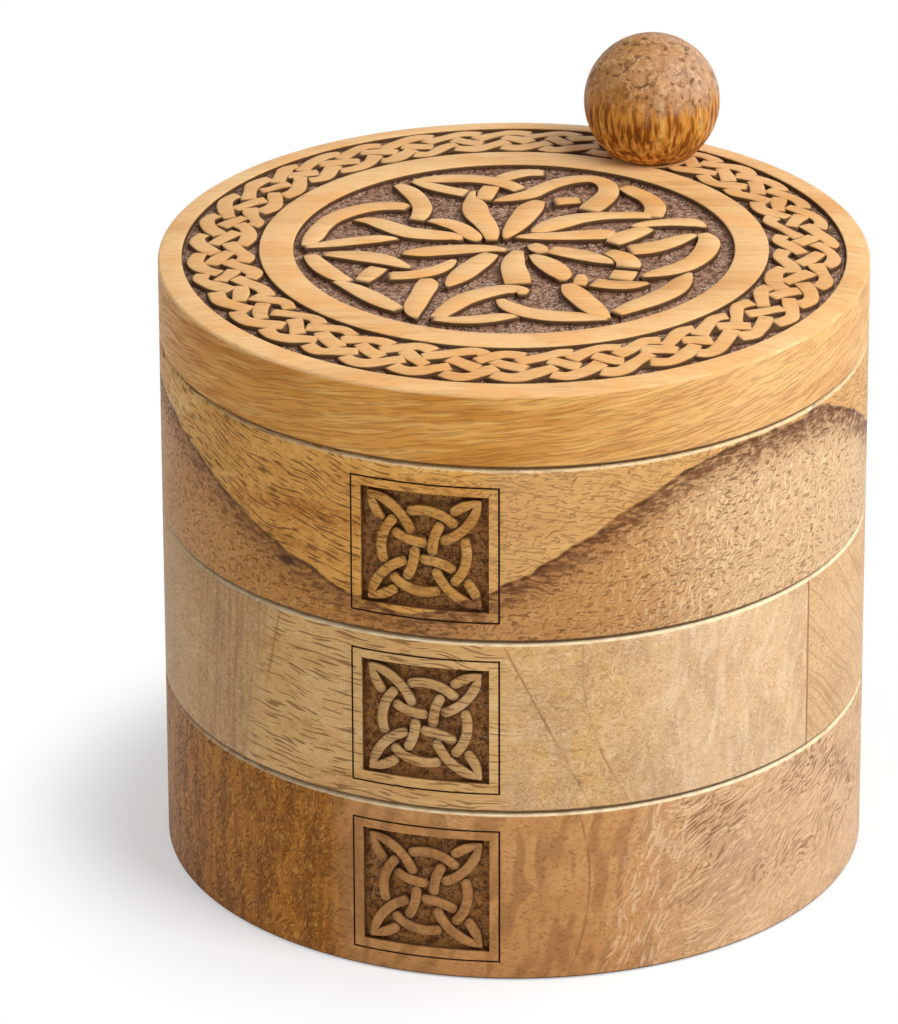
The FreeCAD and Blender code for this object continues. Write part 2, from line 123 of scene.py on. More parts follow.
# Rosette bands on the lid: x, y and width along each centre line, in tenths of a millimetre
ROSETTE_BANDS = [
    [(-32, 357, 26), (-66, 349, 32), (-91, 327, 34), (-108, 305, 29)],
    [(-261, 256, 4), (-229, 273, 28), (-196, 286, 35), (-156, 296, 34), (-117, 295, 34), (-84, 285, 35),
     (-55, 265, 29)],
    [(-261, 256, 4), (-224, 245, 28), (-179, 232, 32), (-144, 226, 34)],
    [(-112, 275, 32), (-111, 235, 34), (-108, 200, 27)],
    [(-138, 245, 9), (-134, 212, 19), (-120, 179, 44), (-103, 134, 48), (-78, 95, 42), (-60, 61, 35),
     (-46, 21, 21)],
    [(-8, 230, 19), (-16, 193, 46), (-19, 145, 48), (-22, 95, 40), (-25, 59, 25), (-26, 34, 7)],
    [(15, 226, 34), (39, 237, 32), (65, 246, 28)],
    [(-93, 201, 6), (-67, 222, 28), (-36, 249, 38), (-20, 282, 37), (0, 316, 37), (28, 341, 34),
     (59, 350, 31), (85, 335, 36), (99, 305, 39), (101, 274, 44), (94, 235, 47), (86, 199, 44)],
    [(116, 331, 23), (145, 310, 37), (179, 282, 39), (200, 246, 41), (206, 196, 39)],
    [(206, 207, 28), (162, 197, 31), (117, 182, 35), (78, 159, 44), (49, 129, 50), (27, 96, 37),
     (10, 76, 6)],
    [(177, 147, 11), (207, 167, 26), (246, 184, 31), (282, 191, 35), (313, 177, 6)],
    [(216, 151, 22), (196, 123, 41), (177, 92, 45), (164, 61, 31)],
    [(-12, 47, 8), (22, 59, 28), (61, 70, 35), (101, 85, 42), (140, 99, 44), (165, 106, 27)],
    [(200, 38, 44), (232, 56, 48), (260, 84, 42), (279, 112, 34), (303, 143, 12)],
    [(308, 152, 20), (329, 117, 40), (334, 73, 45), (329, 28, 44), (312, -12, 45), (282, -46, 36),
     (250, -74, 11)],
    [(162, 25, 25), (196, 7, 41), (216, -22, 45), (218, -42, 45)],
    [(218, -50, 45), (219, -75, 46), (218, -101, 44)],
    [(22, 26, 19), (42, 8, 35), (59, -15, 20)],
    [(61, 7, 32), (101, 0, 42), (140, -9, 41), (171, -19, 28), (191, -28, 6)],
    [(35, -23, 10), (64, -47, 40), (92, -75, 48), (115, -106, 36), (121, -129, 10)],
    [(144, -87, 13), (152, -115, 26), (155, -142, 25)],
    [(171, -120, 38), (207, -124, 37), (243, -116, 34), (274, -98, 8)],
    [(129, -135, 19), (151, -168, 44), (176, -201, 47), (201, -232, 45), (224, -258, 32),
     (243, -275, 10)],
    [(332, -31, 6), (327, -73, 36), (320, -117, 47), (299, -165, 47), (271, -207, 42), (247, -248, 27)],
    [(31, -232, 13), (56, -260, 35), (89, -279, 42), (140, -286, 45), (190, -279, 39), (243, -277, 6)],
    [(69, -209, 11), (61, -188, 31), (35, -189, 38), (6, -211, 44), (-25, -251, 46), (-40, -296, 40),
     (-53, -349, 26)],
    [(-59, -350, 17), (-11, -344, 30), (28, -329, 36), (61, -310, 30), (88, -302, 6)],
    [(12, -8, 16), (13, -45, 36), (20, -84, 45), (35, -123, 50), (49, -162, 48)],
    [(-30, -34, 27), (-39, -67, 42), (-49, -106, 47), (-59, -151, 45), (-66, -184, 27), (-70, -206, 6)],
    [(-6, -17, 13), (-39, -16, 28), (-78, -28, 40), (-117, -44, 44), (-156, -63, 38), (-189, -76, 13)],
    [(-88, -78, 11), (-96, -112, 29), (-115, -145, 36), (-148, -170, 35), (-184, -183, 35)],
    [(-117, -174, 19), (-107, -201, 41), (-104, -251, 41), (-102, -302, 40), (-95, -335, 27),
     (-83, -358, 4)],
    [(-208, -145, 35), (-215, -182, 38), (-222, -220, 28)],
    [(-346, -118, 25), (-324, -151, 36), (-296, -184, 40), (-263, -212, 32), (-237, -221, 13)],
    [(-273, -228, 8), (-235, -246, 32), (-196, -274, 42), (-159, -302, 39), (-122, -326, 26)],
    [(-324, -115, 12), (-291, -109, 32), (-246, -107, 46), (-201, -115, 40), (-170, -130, 23),
     (-150, -139, 6)],
    [(-361, -88, 19), (-359, -45, 37), (-358, 6, 37), (-349, 50, 39), (-327, 89, 40), (-291, 123, 38),
     (-251, 136, 35), (-230, 133, 26)],
    [(-363, -91, 13), (-319, -64, 30), (-279, -40, 34), (-240, -20, 30), (-208, -11, 6)],
    [(-314, 53, 4), (-279, 56, 32), (-246, 42, 42), (-201, 21, 46), (-156, 20, 44), (-117, 21, 31),
     (-97, 10, 8)],
    [(-184, 83, 9), (-154, 83, 32), (-123, 70, 37), (-98, 47, 37), (-79, 25, 30), (-69, 10, 8)],
    [(-283, 239, 17), (-251, 212, 36), (-226, 179, 37), (-207, 140, 37), (-201, 106, 34),
     (-202, 79, 29)],
]


def rounded(centre, radius, start, end, count=5):
    """Points round an arc, from one direction in degrees to the other."""
    angles = np.radians(np.linspace(start, end, count))
    return [(centre[0] + radius * math.cos(a), centre[1] + radius * math.sin(a)) for a in angles]


SECTORS = 24
JOIN_DISTANCE = 0.002


def turned(bm, section, steps, start=0.0, closed=False):
    """Turns a section of (radius, height) points once about the upright axis, sector by sector."""
    verts = [bm.verts.new((r * math.cos(start), r * math.sin(start), z)) for r, z in section]
    pairs = list(zip(verts, verts[1:]))
    if closed:
        pairs.append((verts[-1], verts[0]))
    edges = [bm.edges.new(pair) for pair in pairs]
    share = TURN / SECTORS
    geom = verts + edges
    bmesh.ops.spin(bm, geom=geom, cent=(0, 0, 0), axis=(0, 0, 1), angle=share, steps=steps // SECTORS)
    sector = list(bm.verts) + list(bm.edges) + list(bm.faces)
    for number in range(1, SECTORS):
        moved = new_verts(bmesh.ops.duplicate(bm, geom=sector))
        turn = Matrix.Rotation(share * number, 3, "Z")
        bmesh.ops.rotate(bm, cent=(0, 0, 0), matrix=turn, verts=moved)
    bmesh.ops.remove_doubles(bm, verts=bm.verts, dist=JOIN_DISTANCE)


SHARP_ANGLE = math.radians(38.0)


def finish_piece(bm, name, body, material, slot, replaced=()):
    """Closes a mesh, puts it in metres and makes it a piece that rides on a body."""
    bmesh.ops.remove_doubles(bm, verts=bm.verts, dist=JOIN_DISTANCE)
    bmesh.ops.recalc_face_normals(bm, faces=bm.faces)
    bmesh.ops.scale(bm, vec=(MM, MM, MM), verts=bm.verts)
    mesh = bpy.data.meshes.new(name)
    bm.to_mesh(mesh)
    bm.free()
    mesh.materials.append(material)
    mesh.shade_smooth()
    mesh.set_sharp_from_angle(angle=SHARP_ANGLE)
    piece = bpy.data.objects.new(name, mesh)
    bpy.context.scene.collection.objects.link(piece)
    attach(piece, body)
    if replaced:
        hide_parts(*replaced)


def new_verts(made):
    """The points among what a bmesh operator made."""
    return [item for item in made["geom"] if isinstance(item, bmesh.types.BMVert)]


def smooth_line(rows, step):
    """A smooth line through given rows, sampled about every step along it."""
    chords = np.linalg.norm(np.diff(rows[:, :2], axis=0), axis=1)
    knots = np.concatenate([[0.0], np.cumsum(np.sqrt(chords))])
    slopes = np.gradient(rows, knots, axis=0)
    count = max(6, int(chords.sum() / step))
    line = []
    for knot in np.linspace(0.0, knots[-1], count):
        k = min(int(np.searchsorted(knots, knot, side="right")) - 1, len(knots) - 2)
        gap = knots[k + 1] - knots[k]
        s = (knot - knots[k]) / gap
        line.append(
            (2 * s**3 - 3 * s**2 + 1) * rows[k]
            + (s**3 - 2 * s**2 + s) * gap * slopes[k]
            + (3 * s**2 - 2 * s**3) * rows[k + 1]
            + (s**3 - s**2) * gap * slopes[k + 1]
        )
    return np.array(line)


def strand(bm, line, section, lay, closed=False):
    """A carved strand along rows of (x, y, width, depth of its top).

    The section lists (distance in from the strand's edge, depth), foot first.
    """
    across = 2 * len(section) + 1
    insets = np.array([inset for inset, depth in section])
    depths = np.array([depth for inset, depth in section])
    grid = bmesh.ops.create_grid(bm, x_segments=len(line) - 1, y_segments=across - 1, size=1.0)
    verts = sorted(grid["verts"], key=lambda vert: (round(vert.co.x, 6), round(vert.co.y, 6)))
    if closed:
        loop = np.concatenate([line[-2:-1], line, line[1:2]])
        along = np.gradient(loop[:, :2], axis=0)[1:-1]
    else:
        along = np.gradient(line[:, :2], axis=0)
    along /= np.linalg.norm(along, axis=1)[:, None]
    for index, vert in enumerate(verts):
        column, row = divmod(index, across)
        row = row % (across - 1)
        side = -1.0 if row < len(section) else 1.0
        place = row if row < len(section) else across - 2 - row
        x, y, width, top = line[column]
        inset = min(insets[place], width / 2)
        off = side * (width / 2 - inset)
        depth = top + np.interp(inset, insets, depths)
        if place == 0:
            depth = depths[0]
        vert.co = lay(x - along[column][1] * off, y + along[column][0] * off, depth)
    if not closed:
        bmesh.ops.remove_doubles(bm, verts=verts, dist=JOIN_DISTANCE)
        ends = [edge for edge in bm.edges if edge.is_boundary]
        bmesh.ops.holes_fill(bm, edges=ends, sides=0)


def chipped(x, y, seed):
    """Uneven depth of ground chipped away with a narrow gouge, about -1 to 1."""
    coarse = noise.noise(Vector((x, y, seed)))
    fine = noise.noise(Vector((x * 2.7, y * 2.7, seed + 9.0)))
    return 0.7 * coarse + 0.5 * fine


def dome_drop(reach):
    """How far the lid's top has fallen at a distance from its middle."""
    return DOME_DROP * max(0.0, (reach - DOME_START) / (RADIUS - DOME_START)) ** 2


def on_lid(x, y, depth):
    """A point below the lid's top face."""
    return (x, y, LID_TOP - dome_drop(math.hypot(x, y)) - depth)


def on_wall(tier):
    """A function that lays panel points on the front of a tray's wall."""

    def lay(x, y, depth):
        angle = x / RADIUS
        reach = RADIUS - depth
        return (reach * math.sin(angle), -reach * math.cos(angle), tier["middle"] + y)

    return lay


def lid_body(material):
    """The lid's disc with its rim, border channel, plain ring and rosette ground."""
    top = LID_TOP
    crest = top - CARVED_ROUND
    edge = CARVED_ROUND + CARVED_LEAN
    rosette_floor = top - ROSETTE_DEPTH
    border_floor = top - BORDER_DEPTH
    section = [(r, rosette_floor) for r in np.linspace(0.0, ROSETTE_RADIUS - 0.1, 76)]
    section += [(ROSETTE_RADIUS, rosette_floor + 0.25), (ROSETTE_RADIUS + CARVED_LEAN, crest)]
    section += rounded((ROSETTE_RADIUS + edge, crest), CARVED_ROUND, 180, 90, 4)
    section += rounded((BORDER_INNER - edge, crest), CARVED_ROUND, 90, 0, 4)
    section += [(BORDER_INNER, border_floor + 0.2)]
    section += [(r, border_floor) for r in np.linspace(BORDER_INNER + 0.1, BORDER_OUTER - 0.1, 27)]
    section += [(BORDER_OUTER, border_floor + 0.2)]
    section += rounded((BORDER_OUTER + edge, crest), CARVED_ROUND, 180, 90, 4)
    section += rounded((RADIUS - TOP_ROUND, top - TOP_ROUND), TOP_ROUND, 90, 0, 9)
    section += rounded((RADIUS - FOOT_ROUND, LID_LOW.z + FOOT_ROUND), FOOT_ROUND, 0, -90, 5)
    section += [(CAVITY_RADIUS, LID_LOW.z), (0.0, LID_LOW.z)]
    bm = bmesh.new()
    turned(bm, section, LID_STEPS)
    for vert in bm.verts:
        x, y, z = vert.co
        reach = math.hypot(x, y)
        if z > LID_LOW.z + 2 * FOOT_ROUND:
            vert.co.z -= dome_drop(reach)
        if z > border_floor + 0.1 or z < rosette_floor - 0.1:
            continue
        if reach < ROSETTE_RADIUS - 0.3 or BORDER_INNER + 0.3 < reach < BORDER_OUTER - 0.3:
            vert.co.z += LID_CHIPS * chipped(x, y, 3.0)
    finish_piece(bm, "lid_disc", "lid", material, "lid_wood", ["lid"])


BAND_SECTION = [(-0.1, ROSETTE_DEPTH + 0.3), (0.0, 0.3), (0.07, 0.1), (0.26, 0.0)]
BAND_POINTS = 0.5
BAND_END = 1.3
BAND_END_DIP = 0.3


def length_along(points):
    """The length run from the first of a line's points to each of them."""
    return np.concatenate([[0.0], np.cumsum(np.linalg.norm(np.diff(points[:, :2], axis=0), axis=1))])


def rosette(material):
    """The interlaced bands inside the plain ring."""
    bm = bmesh.new()
    for index, rows in enumerate(ROSETTE_BANDS):
        line = smooth_line(np.array(rows) / 10, BAND_POINTS)
        run = length_along(line)
        end = np.minimum(run, run[-1] - run)
        ease = np.clip(1.0 - end / BAND_END, 0.0, 1.0) ** 2
        top = 0.02 + 0.006 * (index % 9) + BAND_END_DIP * ease
        strand(bm, np.column_stack([line, top]), BAND_SECTION, on_lid)
    finish_piece(bm, "lid_rosette", "lid", material, "lid_wood")


PLAIT_SECTION = [(-0.1, BORDER_DEPTH + 0.3), (0.0, 0.36), (0.1, 0.12), (0.32, 0.02), (0.7, 0.0)]
PLAIT_STRANDS = 4
PLAIT_LOOPS = 38
PLAIT_RADIUS = 52.25
PLAIT_SWING = 4.6
PLAIT_WIDTH = 3.0
PLAIT_PEAK = 0.93
PLAIT_STEPS = 900
PLAIT_SLANT = 1.13
PLAIT_DIP = 0.5
PLAIT_DIP_REACH = 1.95
PLAIT_DIP_EASE = 0.45
WAVER_SIZE = 8.0
WAVER_SIDEWAYS = 0.95
WAVER_ALONG = 0.034
WAVER_WIDTH = 0.3
WAVER_DEPTH = 0.1
SEAT_HEIGHT = BORDER_DEPTH + 0.3


def waver(place, seed):
    """A random swing between -1 and 1 at a place."""
    return noise.noise(place + Vector((0, 0, seed)))


def plait(material):
    """The four-strand plait that runs round the border channel, cut a little unevenly."""
    bm = bmesh.new()
    loose_ends = math.gcd(PLAIT_LOOPS, PLAIT_STRANDS)
    turns = PLAIT_STRANDS // loose_ends
    periods = PLAIT_LOOPS / PLAIT_STRANDS
    for number in range(loose_ends):
        angle = np.linspace(0.0, TURN * turns, PLAIT_STEPS * turns + 1)
        phase = periods * angle + number * TURN / PLAIT_STRANDS
        wave = np.arcsin(PLAIT_PEAK * np.sin(phase)) / math.asin(PLAIT_PEAK)
        reach = PLAIT_RADIUS + PLAIT_SWING * wave
        dip = np.zeros(len(angle))
        for crossing in (-math.pi / 4, math.pi / 4, math.pi):
            away = np.abs((phase - crossing + math.pi) % TURN - math.pi)
            away = away / periods * PLAIT_RADIUS * PLAIT_SLANT
            under = np.clip((PLAIT_DIP_REACH - away) / PLAIT_DIP_EASE, 0.0, 1.0)
            dip = np.maximum(dip, PLAIT_DIP * under)
        line = []
        for r, a, d in zip(reach, angle, dip):
            place = Vector((r * math.cos(a), r * math.sin(a), 0.0)) / WAVER_SIZE
            r += WAVER_SIDEWAYS * waver(place, 2.0)
            a += WAVER_ALONG * waver(place, 8.0)
            width = PLAIT_WIDTH * (1 + WAVER_WIDTH * waver(place * 1.7, 14.0 + 3 * number))
            top = 0.03 + d + WAVER_DEPTH * abs(waver(place * 1.3, 21.0))
            line.append((r * math.cos(a), r * math.sin(a), width, top))
        strand(bm, np.array(line), PLAIT_SECTION, on_lid, closed=True)
    radii = {"radius1": KNOB_SEAT_RADIUS, "radius2": KNOB_SEAT_RADIUS}
    seat = bmesh.ops.create_cone(bm, cap_ends=True, segments=64, depth=SEAT_HEIGHT, **radii)
    lift = LID_TOP - SEAT_HEIGHT / 2
    bmesh.ops.translate(bm, vec=(PIVOT.x, PIVOT.y, lift), verts=seat["verts"])
    finish_piece(bm, "lid_plait", "lid", material, "lid_wood")


def cavity_outline(inset):
    """Points round the inside of a tray, inset outwards into the wood, clear of the boss.

    The line starts opposite the pivot, and has one point for each step of the wall.
    """
    fillet = BOSS_FILLET + inset
    round_radius = CAVITY_RADIUS + inset
    boss = BOSS_RADIUS - inset
    fillet_reach = round_radius - fillet
    sides = fillet_reach**2 + PIVOT_RADIUS**2 - (boss + fillet) ** 2
    spread = math.acos(sides / (2 * fillet_reach * PIVOT_RADIUS))
    fillet_centre = Vector((fillet_reach * math.cos(spread), fillet_reach * math.sin(spread)))
    pivot = Vector((PIVOT_RADIUS, 0.0))
    to_boss = pivot - fillet_centre
    first = math.degrees(spread)
    last = math.degrees(math.atan2(to_boss.y, to_boss.x))
    half = rounded((0.0, 0.0), round_radius, 180, first, 400)
    half += rounded(fillet_centre, fillet, first, last, 60)
    half += rounded(pivot, boss, last + 180, 180, 60)
    points = np.array(half + [(x, -y) for x, y in reversed(half)])
    run = length_along(points)
    even = np.linspace(0.0, run[-1], WALL_STEPS + 1)[:-1]
    x = np.interp(even, run, points[:, 0])
    y = -np.interp(even, run, points[:, 1])
    cos, sin = math.cos(PIVOT_ANGLE), math.sin(PIVOT_ANGLE)
    return np.column_stack([x * cos - y * sin, x * sin + y * cos])


def tray_wall(name, tier, material):
    """A tray's ring with its inner boss, floor rebate and the sunk panel on the front."""
    low, high = tier["low"], tier["high"]
    ledge = low + FLOOR_THICKNESS
    section = rounded((RADIUS - FOOT_ROUND, low + FOOT_ROUND), FOOT_ROUND, -90, 0)
    section += rounded((RADIUS - TRAY_ROUND, high - TRAY_ROUND), TRAY_ROUND, 0, 90)
    section += rounded((CAVITY_RADIUS + RIM_ROUND, high - RIM_ROUND), RIM_ROUND, 90, 180)
    rebate = CAVITY_RADIUS + FLOOR_LEDGE
    section += [(CAVITY_RADIUS, ledge), (rebate, ledge), (rebate, low)]
    start = PIVOT_ANGLE + math.pi
    bm = bmesh.new()
    turned(bm, section, WALL_STEPS, start, closed=True)
    outlines = {}
    for vert in bm.verts:
        reach = math.hypot(vert.co.x, vert.co.y)
        if reach > RADIUS - TRAY_ROUND - 0.1:
            continue
        inset = round(reach - CAVITY_RADIUS, 3)
        if inset not in outlines:
            outlines[inset] = cavity_outline(inset)
        column = round((math.atan2(vert.co.y, vert.co.x) - start) / TURN * WALL_STEPS) % WALL_STEPS
        vert.co.x, vert.co.y = outlines[inset][column]
    panel_recess(bm, tier["middle"])
    if low < NUT_POCKET_TOP:
        nut_pocket(bm, low)
    finish_piece(bm, name, tier["body"], material, tier["slot"], [tier["wall"]])


def nut_pocket(bm, low):
    """Sinks the round pocket for the rod's nut and washer into the underside of the lower boss."""
    under = []
    for face in bm.faces:
        flat = all(abs(vert.co.z - low) < 0.001 for vert in face.verts)
        if flat and (face.calc_center_median().xy - PIVOT.xy).length < BOSS_RADIUS:
            under.append(face)
    bmesh.ops.delete(bm, geom=under, context="FACES")
    rim = [edge for edge in bm.edges if edge.is_boundary]
    circle = bmesh.ops.create_circle(bm, cap_ends=False, segments=96, radius=NUT_POCKET_RADIUS)["verts"]
    bmesh.ops.translate(bm, vec=(PIVOT.x, PIVOT.y, low), verts=circle)
    mouth = [edge for edge in bm.edges if edge.is_wire]
    bmesh.ops.bridge_loops(bm, edges=rim + mouth)
    sunk = new_verts(bmesh.ops.extrude_edge_only(bm, edges=mouth))
    bmesh.ops.translate(bm, vec=(0, 0, NUT_POCKET_TOP - low), verts=sunk)
    bmesh.ops.holes_fill(bm, edges=[edge for edge in bm.edges if edge.is_boundary], sides=0)


def front_faces(bm, half_width, middle, half_height):
    """The faces of a wall's outer side that lie within a window at the front."""
    found = []
    for face in bm.faces:
        centre = face.calc_center_median()
        across = math.atan2(centre.x, -centre.y) * RADIUS
        outside = math.hypot(centre.x, centre.y) > RADIUS - 0.3
        if outside and abs(across) < half_width and abs(centre.z - middle) < half_height:
            found.append(face)
    return found


def panel_recess(bm, middle):
    """Cuts the outline groove, the plain frame and the sunk rough ground of a panel."""
    for distance, depth in PANEL_STEPS:
        height = LINE_HALF_HEIGHT - distance
        angle = (LINE_HALF_WIDTH - distance) / RADIUS
        cuts = [((0, 0, middle + side), (0, 0, 1)) for side in (-height, height)]
        cuts += [((0, 0, middle), (math.cos(side), math.sin(side), 0)) for side in (-angle, angle)]
        for place, normal in cuts:
            faces = front_faces(bm, FRONT_ANGLE * RADIUS, middle, TRAY_HEIGHT)
            edges = dict.fromkeys(edge for face in faces for edge in face.edges)
            verts = dict.fromkeys(vert for face in faces for vert in face.verts)
            geom = faces + list(edges) + list(verts)
            bmesh.ops.bisect_plane(bm, geom=geom, dist=CUT_DISTANCE, plane_co=place, plane_no=normal)
    inset = PANEL_STEPS[-1][0]
    for cuts in (GROUND_CUTS, 1):
        ground = front_faces(bm, LINE_HALF_WIDTH - inset, middle, LINE_HALF_HEIGHT - inset)
        edges = dict.fromkeys(edge for face in ground for edge in face.edges)
        if cuts > 1:
            edges = [edge for edge in edges if abs(edge.verts[0].co.z - edge.verts[1].co.z) > UPRIGHT_LENGTH]
        bmesh.ops.subdivide_edges(bm, edges=list(edges), cuts=cuts, use_grid_fill=True)
    distances = [distance for distance, depth in PANEL_STEPS]
    depths = [depth for distance, depth in PANEL_STEPS]
    for vert in bm.verts:
        reach = math.hypot(vert.co.x, vert.co.y)
        across = math.atan2(vert.co.x, -vert.co.y) * RADIUS
        distance = min(LINE_HALF_WIDTH - abs(across), LINE_HALF_HEIGHT - abs(vert.co.z - middle))
        if reach < RADIUS - 0.05 or distance < 0.0:
            continue
        depth = np.interp(distance, distances, depths)
        if distance > inset + 0.15:
            depth += PANEL_CHIPS * chipped(across, vert.co.z, 7.0)
        vert.co.x *= 1 - depth / reach
        vert.co.y *= 1 - depth / reach


KNOT_SECTION = [(-0.08, POCKET_DEPTH + 0.35), (0.0, 0.46), (0.1, 0.15), (0.3, 0.03), (0.8, 0.0)]
KNOT_WIDTH = 2.0
KNOT_RING = 7.75
KNOT_ARC = 10.0
KNOT_ARC_CENTRE = 11.6
KNOT_TIP = 82.5
KNOT_CROSS_CENTRE = 10.9
KNOT_CROSS_RING = 41.2
KNOT_RING_START = 31.8
KNOT_GAP = 1.18
KNOT_TOP = 0.22
KNOT_POINTS = 0.35
KNOT_TAPER = 3.0
KNOT_BLUNT = 0.5
KNOT_END = 1.2
KNOT_END_DIP = 0.18


def knot_piece(bm, lay, centre, radius, start, end, lift, taper=()):
    """One stretch of the knot along an arc, blunt at its ends, or tapered where it runs to a tip."""
    count = max(8, int(abs(math.radians(end - start)) * radius / KNOT_POINTS))
    angles = np.radians(np.linspace(start, end, count))
    run = np.abs(angles - angles[0]) * radius
    width = np.full(count, KNOT_WIDTH)
    top = np.full(count, KNOT_TOP + lift)
    for place, away in (("start", run), ("end", run[-1] - run)):
        if place in taper:
            width *= 0.45 + 0.55 * np.clip(away / KNOT_TAPER, 0.0, 1.0) ** 0.8
        else:
            width *= np.sqrt(1.0 - (1.0 - np.clip(away / KNOT_BLUNT, 0.12, 1.0)) ** 2)
            top += KNOT_END_DIP * np.clip(1.0 - away / KNOT_END, 0.0, 1.0)
    line = np.column_stack(
        [centre[0] + radius * np.cos(angles), centre[1] + radius * np.sin(angles), width, top]
    )
    strand(bm, line, KNOT_SECTION, lay)


def knot(name, tier, material):
    """The interlaced ring and four arcs of a panel, over and under by turns."""
    bm = bmesh.new()
    lay = on_wall(tier)
    arc_gap = math.degrees(KNOT_GAP / KNOT_ARC)
    ring_gap = math.degrees(KNOT_GAP / KNOT_RING)
    arc_stretches = [
        (KNOT_TIP, KNOT_CROSS_CENTRE + arc_gap, ("start",)),
        (KNOT_CROSS_CENTRE - arc_gap, -KNOT_CROSS_RING + arc_gap, ()),
        (-KNOT_CROSS_RING - arc_gap, -KNOT_TIP, ("end",)),
    ]
    for quarter in range(4):
        turn = 90 * quarter
        heading = math.radians(180 + turn)
        centre = (KNOT_ARC_CENTRE * math.cos(heading), KNOT_ARC_CENTRE * math.sin(heading))
        for start, end, taper in arc_stretches:
            knot_piece(bm, lay, centre, KNOT_ARC, start + turn, end + turn, 0.004 * quarter, taper)
        start = KNOT_RING_START + turn
        knot_piece(bm, lay, (0.0, 0.0), KNOT_RING, start + ring_gap, start + 90 - ring_gap, 0.002)
    finish_piece(bm, name, tier["body"], material, tier["slot"])


def tray_floor(name, tier, material):
    """The let-in floor board of a tray, cut round the boss."""
    bm = bmesh.new()
    outline = cavity_outline(FLOOR_LEDGE - FLOOR_CLEARANCE)
    board = bm.faces.new([bm.verts.new((x, y, tier["low"])) for x, y in outline])
    raised = new_verts(bmesh.ops.extrude_face_region(bm, geom=[board]))
    bmesh.ops.translate(bm, vec=(0, 0, FLOOR_THICKNESS), verts=raised)
    finish_piece(bm, name, tier["body"], material, "floor_wood", [tier["floor"]])


def ball(material):
    """The turned ball, flat where it sits on the lid."""
    low, high = (corner.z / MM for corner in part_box("ball_knob"))
    centre = high - BALL_RADIUS
    flat = math.degrees(math.asin((low - centre) / BALL_RADIUS))
    section = [(0.0, low)] + rounded((0.0, centre), BALL_RADIUS, flat, 90, 56)
    section[-1] = (0.0, high)
    bm = bmesh.new()
    turned(bm, section, 96)
    bmesh.ops.translate(bm, vec=PIVOT, verts=bm.verts)
    finish_piece(bm, "knob_ball", "base", material, "knob_wood", ["ball_knob"])


def shade(red, green, blue):
    """A colour given in screen values, 0 to 255, as the renderer takes it."""
    parts = [value / 255 for value in (red, green, blue)]
    return tuple(p / 12.92 if p < 0.04 else ((p + 0.055) / 1.055) ** 2.4 for p in parts) + (1.0,)


def joined(operation, reflected=False):
    """A method that joins a wire, and a second value where there is one, by a Math node."""

    def method(wire, other=0.0):
        values = (other, wire) if reflected else (wire, other)
        return wire.node("Math", {"operation": operation}, dict(enumerate(values)))

    return method


class Wire:
    """A socket of a material's nodes: an expression on it adds its Math nodes."""

    def __init__(self, tree, socket=None):
        self.tree = tree
        self.socket = socket

    def node(self, kind, settings=None, inputs=None, output=0):
        """Adds a node, with its settings first and then the values or links of its sockets."""
        made = self.tree.nodes.new("ShaderNode" + kind)
        for key, value in (settings or {}).items():
            setattr(made, key, value)
        for key, value in (inputs or {}).items():
            if isinstance(value, Wire):
                self.tree.links.new(value.socket, made.inputs[key])
            else:
                made.inputs[key].default_value = value
        return Wire(self.tree, made.outputs[output] if made.outputs else None)

    __add__ = joined("ADD")
    __radd__ = joined("ADD", reflected=True)
    __sub__ = joined("SUBTRACT")
    __rsub__ = joined("SUBTRACT", reflected=True)
    __mul__ = joined("MULTIPLY")
    __rmul__ = joined("MULTIPLY", reflected=True)
    __truediv__ = joined("DIVIDE")
    __abs__ = joined("ABSOLUTE")
    root = joined("SQRT")
    sine = joined("SINE")
    least = joined("MINIMUM")
    most = joined("MAXIMUM")
    turn_from = joined("ARCTAN2")

    def between(self, low, high):
        """0 below low, 1 above high, and an eased step between them."""
        settings = {"interpolation_type": "SMOOTHSTEP", "clamp": True}
        return self.node("MapRange", settings, {"Value": self, "From Min": low, "From Max": high})

    def near(self, value, half):
        """1 at a value, easing to 0 half a width away."""
        return 1 - abs(self - value).between(half * 0.4, half)

    def blend(self, under, over):
        """A colour between two others, by this share."""
        return self.node("Mix", {"data_type": "RGBA"}, {0: self, 6: under, 7: over}, 2)

    def parts(self):
        """The three numbers of a place."""
        return [self.node("SeparateXYZ", None, {0: self}, number) for number in range(3)]

    def stretched(self, x, y, z):
        """A place scaled along its three axes."""
        return self.node("VectorMath", {"operation": "MULTIPLY"}, {0: self, 1: (x, y, z)})

    def cloud(self, scale=1.0, detail=2.0, roughness=0.5, distortion=0.0):
        """A soft random value, 0 to 1, at this place."""
        inputs = {"Vector": self, "Scale": scale, "Detail": detail}
        inputs.update({"Roughness": roughness, "Distortion": distortion})
        return self.node("TexNoise", None, inputs)

    def pushed(self, pattern, swing):
        """A place pushed about by a random pattern, so that marks laid on it bend."""
        push = pattern.node("TexNoise", None, {"Vector": pattern, "Scale": 1.0, "Detail": 1.0}, 1)
        push = push.node("VectorMath", {"operation": "SUBTRACT"}, {0: push, 1: (0.5, 0.5, 0.5)})
        return self.node("VectorMath", {"operation": "ADD"}, {0: self, 1: push.stretched(*swing)})

    def swirled(self, size, swing):
        """A place pushed about alike in all directions, so that marks laid on it curl."""
        return self.pushed(self.stretched(1 / size, 1 / size, 1 / size), (swing, swing, swing))

    def flecks(self, tilt, length, width, crowd, ease=0.07):
        """Short marks that lie along a direction, in degrees up from the first axis."""
        laid = {"Vector": self, "Rotation": (0, 0, -math.radians(tilt))}
        cells = self.node("Mapping", None, laid).stretched(1 / length, 1 / width, 1 / width)
        return cells.cloud(1.0, 0.0).between(crowd, crowd + ease)


def layered(colour, layers):
    """A colour with others laid over it in turn, each by its own share."""
    for share, tone in layers:
        colour = share.blend(colour, tone if isinstance(tone, Wire) else shade(*tone))
    return colour


